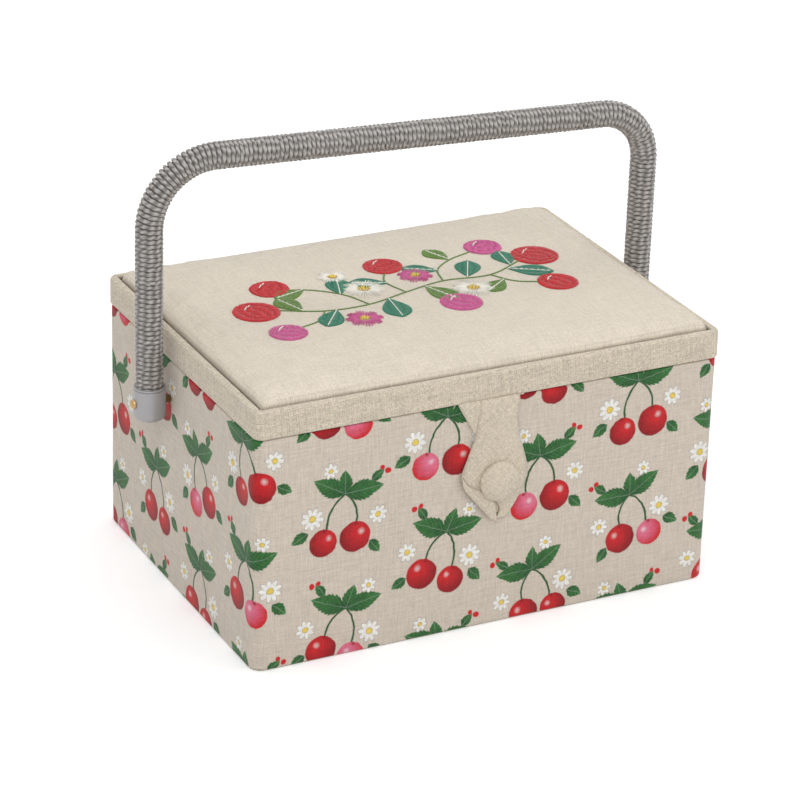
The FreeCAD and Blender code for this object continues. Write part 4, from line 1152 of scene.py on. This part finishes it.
INNER_FOLD = (((-4, 48), (-2, 55), (0.5, 62)), ((9, 48), (8, 55), (5.5, 62)), 0.75, 0.05, 16, 0.4)


class SEWINGBOX_OT_clasp(Operator):
    """Folds the clasp from a crossed strip of linen and sets its covered button"""

    bl_idname = "sewing_box.clasp"
    bl_label = "Clasp"

    def execute(self, context):
        tints = context.scene.sewing_box_colours
        # painted light: the clasp is the band's linen made 7% paler, a lit copy of the same cloth
        pale = tuple(min(1.0, 1.07 * channel) for channel in tints.band_linen)
        weave = linen("clasp_linen", pale, 0.85, 0.34, bias=math.radians(38), speckle=0.2, grain=0.75)
        strips = [ribbon(*strip) for strip in (BACK_LEG, FRONT_LEG, LOWER_FLAP, INNER_FOLD)]
        points, faces = joined([strip[:2] for strip in strips])
        uv = np.concatenate([place.reshape(-1, 2) for _, _, place in strips])
        strip_cloth = piece("clasp_strip", points, faces, "clasp", weave, ("clasp_tab",), uv)
        self.cover_button(weave)
        sewn = self.sewn_edge(weave)
        return {"FINISHED"}

    def cover_button(self, weave):
        """A dome of cloth, pleated where it is drawn in round the rim, a little higher than its node."""
        low, high = node_box("clasp_button")
        radius, deep = 0.95 * (high[0] - low[0]) / 2, high[1] - low[1]
        profile = np.concatenate([
            [[0.0, -0.4], [radius - 2.2, -0.4]], arc(radius - 1.5, 1.1, 1.5, -90, -10, 6),
            dome(radius, deep - 1.3, 1.3, 14)])

        def pleat(r, turn):
            """Cosine pleats that grow with the square of the nearness to the rim."""
            near_rim = np.clip((r / radius - 0.62) / 0.38, 0, 1) ** 2
            return 0.22 * near_rim * np.cos(20 * turn + 2 * np.sin(3 * turn))

        centre = ((low[0] + high[0]) / 2 - 0.5, high[1], (low[2] + high[2]) / 2 + 2.2)
        points, faces = turned(profile, centre, (0, -1, 0), 88, pleat)
        uv = points[:, [0, 2]][faces]
        made = piece("clasp_button_cover", points, faces, "clasp", weave, ("clasp_button",),
                     uv.reshape(-1, 2))

    def sewn_edge(self, weave):
        """The end of the strip under the lid's front rim: a flat section carried along it."""
        low, high = node_box("clasp_anchor")
        front, back = low[1], high[1]
        section = np.array([[front - 0.5, 0.5], [front - 0.3, -0.12], [front + 0.4, -0.16],
                            [back - 0.3, -0.16], [back - 0.1, 0.1], [back - 0.3, 0.45], [front + 0.4, 0.45]])
        along = np.linspace(low[0], high[0], 24)[:, None]
        sag = 0.02 * np.sin(along * 1.7)
        points = capped(placed(along, section[:, 0], low[2] + section[:, 1] + sag))
        faces = grid_faces(len(points), len(section), False, True)[0]
        uv = points.reshape(-1, 3)[:, :2][faces].reshape(-1, 2)
        return piece("clasp_sewn_edge", points, faces, "lid", weave, ("clasp_anchor",), uv)


class SEWINGBOX_OT_hinge_screws(Operator):
    """Drives slotted screws through the hinge leaves"""

    bl_idname = "sewing_box.hinge_screws"
    bl_label = "Hinge screws"

    def execute(self, context):
        tints = context.scene.sewing_box_colours
        brass = metal_finish("screw_brass", dimmed(tints.brass, 0.9), roughness=0.34, metallic=0.95)
        profile = np.concatenate([[[0.0, -0.6], [1.0, -0.6], [2.1, 0.0]], dome(2.1, 0.9, 0.0, 12)])
        face = BODY_HIGH[1] + LEAF_THICKNESS
        heights = {"box": node_box("hinge_box_leaves")[0][2] + BOX_LEAF / 2,
                   "lid": node_box("hinge_lid_leaves")[1][2] - LID_LEAF / 2}
        places = [side * HINGE_PLACE + spread for side in (-1, 1) for spread in (-SCREW_SPREAD, SCREW_SPREAD)]
        for body, height in heights.items():
            heads = []
            for number, x in enumerate(places):

                def slot(r, turn, lean=0.6 + 1.1 * number):
                    """A groove across the head, at a lean of its own."""
                    in_slot = (np.abs(r * np.sin(turn - lean)) < 0.34) & (r < 1.9) & (r > 0)
                    return np.where(in_slot, -0.38, 0.0)

                heads.append(turned(profile, (x, face, height), (0, 1, 0), 40, slot))
            points, faces = joined(heads)
            piece(f"hinge_screws_{body}", points, faces, body, brass)
        return {"FINISHED"}


class SEWINGBOX_OT_lid_inside(Operator):
    """Makes the pincushion and the gathered pocket with its elastic hem inside the lid"""

    bl_idname = "sewing_box.lid_inside"
    bl_label = "Inside of the lid"

    def execute(self, context):
        tints = context.scene.sewing_box_colours
        self.pincushion(tints)
        self.pocket(tints)
        self.hem(tints)
        return {"FINISHED"}

    def pincushion(self, tints):
        """A hanging pad, swollen as cloth and fitted to its depth."""
        low, high = node_box("pincushion")
        points, faces, inside = crowned_pad(low, high, high[2], way=-1.0, edge=1.6, power=2.4, draw=1.2,
                                            columns=PINCUSHION_COLUMNS, rows=PINCUSHION_ROWS)
        face = PINCUSHION_COLUMNS * PINCUSHION_ROWS
        points = swollen(points, faces, held=inside < 1.0, pressure=4.0, cap_mm=3.0)
        drop = high[2] - points[:face, 2]
        points[:face, 2] = high[2] - drop * (high[2] - low[2]) / drop.max()
        red = linen("pincushion_cotton", tints.cushion, 0.6, 0.12, from_uv=False, depth_mm=0.12)
        made = piece("pincushion_pad", points, faces, "lid", red, ("pincushion",))

    def pocket(self, tints):
        """A sheet with sine folds that grow towards the gathered edge."""
        low, high = node_box("lid_pocket")
        x = np.linspace(low[0], high[0], 190)
        y = np.linspace(low[1], high[1], 44)
        gather = ((high[1] - y) / (high[1] - low[1])) ** 1.6
        phase = x * TURN / 6.2 + 0.9 * np.sin(x / 9.0)
        fold = 0.10 + gather[:, None] * (0.5 + 0.5 * np.sin(phase)[None]) * 0.75
        faces, corner_rows, corner_columns = grid_faces(len(y), len(x))
        uv = np.stack([x[corner_columns], y[corner_rows]], axis=2)
        cotton = linen("pocket_cotton", tints.lining, 0.6, 0.12, depth_mm=0.12)
        made = piece("pocket_cloth", placed(x, y[:, None], high[2] - 0.10 - fold), faces[:, ::-1], "lid",
                     cotton, ("lid_pocket",), uv[:, ::-1].reshape(-1, 2), shell=False)
        thick = made.modifiers.new("cloth", "SOLIDIFY")
        thick.thickness = 0.2 * MM
        thick.offset = -1.0

    def hem(self, tints):
        """A ruched tube round the elastic: its radius follows a sine and closes at both ends."""
        low, high = node_box("pocket_elastic")
        along, sides = np.linspace(low[0], high[0], 420), 14
        around = np.linspace(0, TURN, sides, endpoint=False)
        ends = np.clip(np.minimum(along - low[0], high[0] - along) / 0.5, 0, 1)
        radius = ((high[2] - low[2]) / 2 * (0.86 + 0.14 * np.sin(along * TURN / 2.1)) * ends)[:, None]
        points = placed(along[:, None], (low[1] + high[1]) / 2 + radius * np.cos(around),
                        (low[2] + high[2]) / 2 + radius * np.sin(around))
        faces, corner_rows, corner_columns = grid_faces(len(along), sides, False, True)
        uv = np.stack([along[corner_rows], corner_columns / sides * 7.5], axis=2)
        knit = linen("elastic_knit", tints.tray, 0.7, 0.10)
        piece("pocket_hem", points, faces, "lid", knit, ("pocket_elastic",), uv.reshape(-1, 2))


class SEWINGBOX_OT_frame_finishes(Operator):
    """Gives the nodes that show as they are their board, lining, plastic, brass and steel finishes"""

    bl_idname = "sewing_box.frame_finishes"
    bl_label = "Frame finishes"

    def execute(self, context):
        tints = context.scene.sewing_box_colours
        finishes = {
            "board": board_finish("grey_board", tints.board, 0.30),
            "base_paper": board_finish("base_paper", tints.paper, 0.16),
            "lining_cloth": lining_finish("lining_cotton", tints.lining),
            "tray_plastic": plastic_finish("tray_plastic", tints.tray),
            "brass": metal_finish("hinge_brass", tints.brass, 0.34, 0.95, brushed=True),
            "steel": metal_finish("drawn_steel", tints.steel, 0.30, 1.0, brushed=True),
        }
        for subpart in frame["record"]["subparts"]:
            finish = finishes.get(subpart["material_slot"])
            if finish is None:
                continue
            materials = frame["nodes"][subpart["node"]].data.materials
            materials.clear()
            materials.append(finish)
        return {"FINISHED"}


def seen_directly(tree):
    """A socket that is 1 for the camera and for rays off metal or through glass, and 0 for other light."""
    rays = tree.nodes.new("ShaderNodeLightPath")
    seen = rays.outputs["Is Camera Ray"]
    for kind in ("Is Glossy Ray", "Is Transmission Ray"):
        either = tree.nodes.new("ShaderNodeMath")
        either.operation = "MAXIMUM"
        tree.links.new(seen, either.inputs[0])
        tree.links.new(rays.outputs[kind], either.inputs[1])
        seen = either.outputs[0]
    return seen


def daylight(strength, camera_strength):
    """An even pale world that the camera, metal and glass see as white."""
    world = bpy.data.worlds.new("studio")
    world.use_nodes = True
    tree = world.node_tree
    tree.nodes.clear()
    choose, out = tree.nodes.new("ShaderNodeMixShader"), tree.nodes.new("ShaderNodeOutputWorld")
    tree.links.new(seen_directly(tree), choose.inputs[0])
    for place, power in ((1, strength), (2, camera_strength)):
        background = tree.nodes.new("ShaderNodeBackground")
        background.inputs["Color"].default_value = (1.0, 1.0, 1.0, 1.0)
        background.inputs["Strength"].default_value = power
        tree.links.new(background.outputs[0], choose.inputs[place])
    tree.links.new(choose.outputs[0], out.inputs[0])
    bpy.context.scene.world = world


def floor_finish(paper_white, glow_strength):
    """White paper that keeps the box's shadow and looks white to the camera, metal and glass."""
    material = bpy.data.materials.new("studio_paper")
    material.use_nodes = True
    tree = material.node_tree
    tree.nodes.clear()
    paper, glow = tree.nodes.new("ShaderNodeBsdfDiffuse"), tree.nodes.new("ShaderNodeEmission")
    paper.inputs["Color"].default_value = (paper_white, paper_white, paper_white, 1.0)
    strength = tree.nodes.new("ShaderNodeMath")
    strength.operation = "MULTIPLY"
    strength.inputs[1].default_value = glow_strength
    tree.links.new(seen_directly(tree), strength.inputs[0])
    tree.links.new(strength.outputs[0], glow.inputs["Strength"])
    both, out = tree.nodes.new("ShaderNodeAddShader"), tree.nodes.new("ShaderNodeOutputMaterial")
    tree.links.new(paper.outputs[0], both.inputs[0])
    tree.links.new(glow.outputs[0], both.inputs[1])
    tree.links.new(both.outputs[0], out.inputs[0])
    return material


def stood(name, data, right, up, back, place):
    """An object of the studio at a place in metres, turned to three directions of its own."""
    made = bpy.data.objects.new(name, data)
    turned_axes = np.stack([right, up, back], axis=1)
    made.matrix_world = Matrix([(*row, at) for row, at in zip(turned_axes, place)] + [(0, 0, 0, 1)])
    bpy.context.scene.collection.objects.link(made)
    return made


# The studio: lights by place in metres, size and power, the point that they face, half the floor's width,
# and the camera's place in metres, its azimuth, elevation and roll in degrees, and its focal length in pixels
LIGHTS = {"key_light": ((-0.9, -1.3, 1.7), 1.1, 13.0), "fill_light": ((1.5, -1.2, 0.9), 1.2, 7.0),
          "top_light": ((0.2, 0.4, 1.9), 1.2, 8.0)}
LIT_POINT = np.array([0.0, 0.0, 0.08])
FLOOR_HALF, FLOOR_DROP = 4.0, 0.0002
CAMERA_PLACE = (-0.72757, -1.400233, 0.806559)
CAMERA_ANGLES = (-27.311, 24.606, 1.811)
CAMERA_FOCAL_PX, PICTURE_PX, SENSOR_MM = 3387.9, 800, 36.0


class SEWINGBOX_OT_studio(Operator):
    """Sets up the floor, the lights and the camera"""

    bl_idname = "sewing_box.studio"
    bl_label = "Studio"

    def execute(self, context):
        scene = context.scene
        mesh = bpy.data.meshes.new("studio_floor")
        corners = [(FLOOR_HALF * x, FLOOR_HALF * y, 0) for x, y in ((-1, -1), (1, -1), (1, 1), (-1, 1))]
        mesh.from_pydata(corners, [], [(0, 1, 2, 3)])
        mesh.materials.append(floor_finish(paper_white=0.86, glow_strength=0.30))
        floor = bpy.data.objects.new("studio_floor", mesh)
        floor.location.z = -FLOOR_DROP
        scene.collection.objects.link(floor)
        daylight(strength=0.62, camera_strength=1.0)
        for name, (place, size, power) in LIGHTS.items():
            data = bpy.data.lights.new(name, "AREA")
            data.size = size
            data.energy = power
            way = LIT_POINT - np.array(place)
            back = -way / np.linalg.norm(way)
            right = np.cross((0, 0, 1), back)
            right /= np.linalg.norm(right)
            stood(name, data, right, np.cross(back, right), back, place)
        azimuth, rise, roll = (math.radians(angle) for angle in CAMERA_ANGLES)
        level = math.cos(rise)
        back = np.array([math.sin(azimuth) * level, -math.cos(azimuth) * level, math.sin(rise)])
        right = np.cross(-back, (0, 0, 1))
        right /= np.linalg.norm(right)
        up = np.cross(right, -back)
        cosine, sine = math.cos(roll), math.sin(roll)
        right, up = cosine * right + sine * up, -sine * right + cosine * up
        data = bpy.data.cameras.new("camera")
        data.sensor_width = SENSOR_MM
        data.lens = CAMERA_FOCAL_PX / PICTURE_PX * SENSOR_MM
        data.clip_end = 20.0
        scene.camera = stood("camera", data, right, up, back, CAMERA_PLACE)
        scene.view_settings.view_transform = "Standard"
        return {"FINISHED"}


PIECES = (SEWINGBOX_OT_side_cloth, SEWINGBOX_OT_lid_band, SEWINGBOX_OT_lid_cushion, SEWINGBOX_OT_embroidery,
          SEWINGBOX_OT_handle_winding, SEWINGBOX_OT_handle_fittings, SEWINGBOX_OT_clasp,
          SEWINGBOX_OT_hinge_screws, SEWINGBOX_OT_lid_inside, SEWINGBOX_OT_frame_finishes,
          SEWINGBOX_OT_studio)


class SEWINGBOX_PT_pieces(Panel):
    """Lists the pieces of the sewing box"""

    bl_idname = "SEWINGBOX_PT_pieces"
    bl_label = "Sewing box"
    bl_space_type = "VIEW_3D"
    bl_region_type = "UI"
    bl_category = "Sewing box"

    def draw(self, context):
        for operator in PIECES:
            self.layout.operator(operator.bl_idname)


CLASSES = (SewingBoxSizes, SewingBoxColours, *PIECES, SEWINGBOX_PT_pieces)


def register():
    for each in CLASSES:
        bpy.utils.register_class(each)
    bpy.types.Scene.sewing_box_sizes = PointerProperty(type=SewingBoxSizes)
    bpy.types.Scene.sewing_box_colours = PointerProperty(type=SewingBoxColours)


def unregister():
    del bpy.types.Scene.sewing_box_colours
    del bpy.types.Scene.sewing_box_sizes
    for each in reversed(CLASSES):
        bpy.utils.unregister_class(each)


def main():
    """Registers the classes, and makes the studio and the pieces."""
    register()
    bpy.ops.sewing_box.studio()
    bpy.ops.sewing_box.side_cloth()
    bpy.ops.sewing_box.lid_band()
    bpy.ops.sewing_box.lid_cushion()
    bpy.ops.sewing_box.embroidery()
    bpy.ops.sewing_box.handle_winding()
    bpy.ops.sewing_box.handle_fittings()
    bpy.ops.sewing_box.clasp()
    bpy.ops.sewing_box.hinge_screws()
    bpy.ops.sewing_box.lid_inside()
    bpy.ops.sewing_box.frame_finishes()


if __name__ == "__main__":
    main()
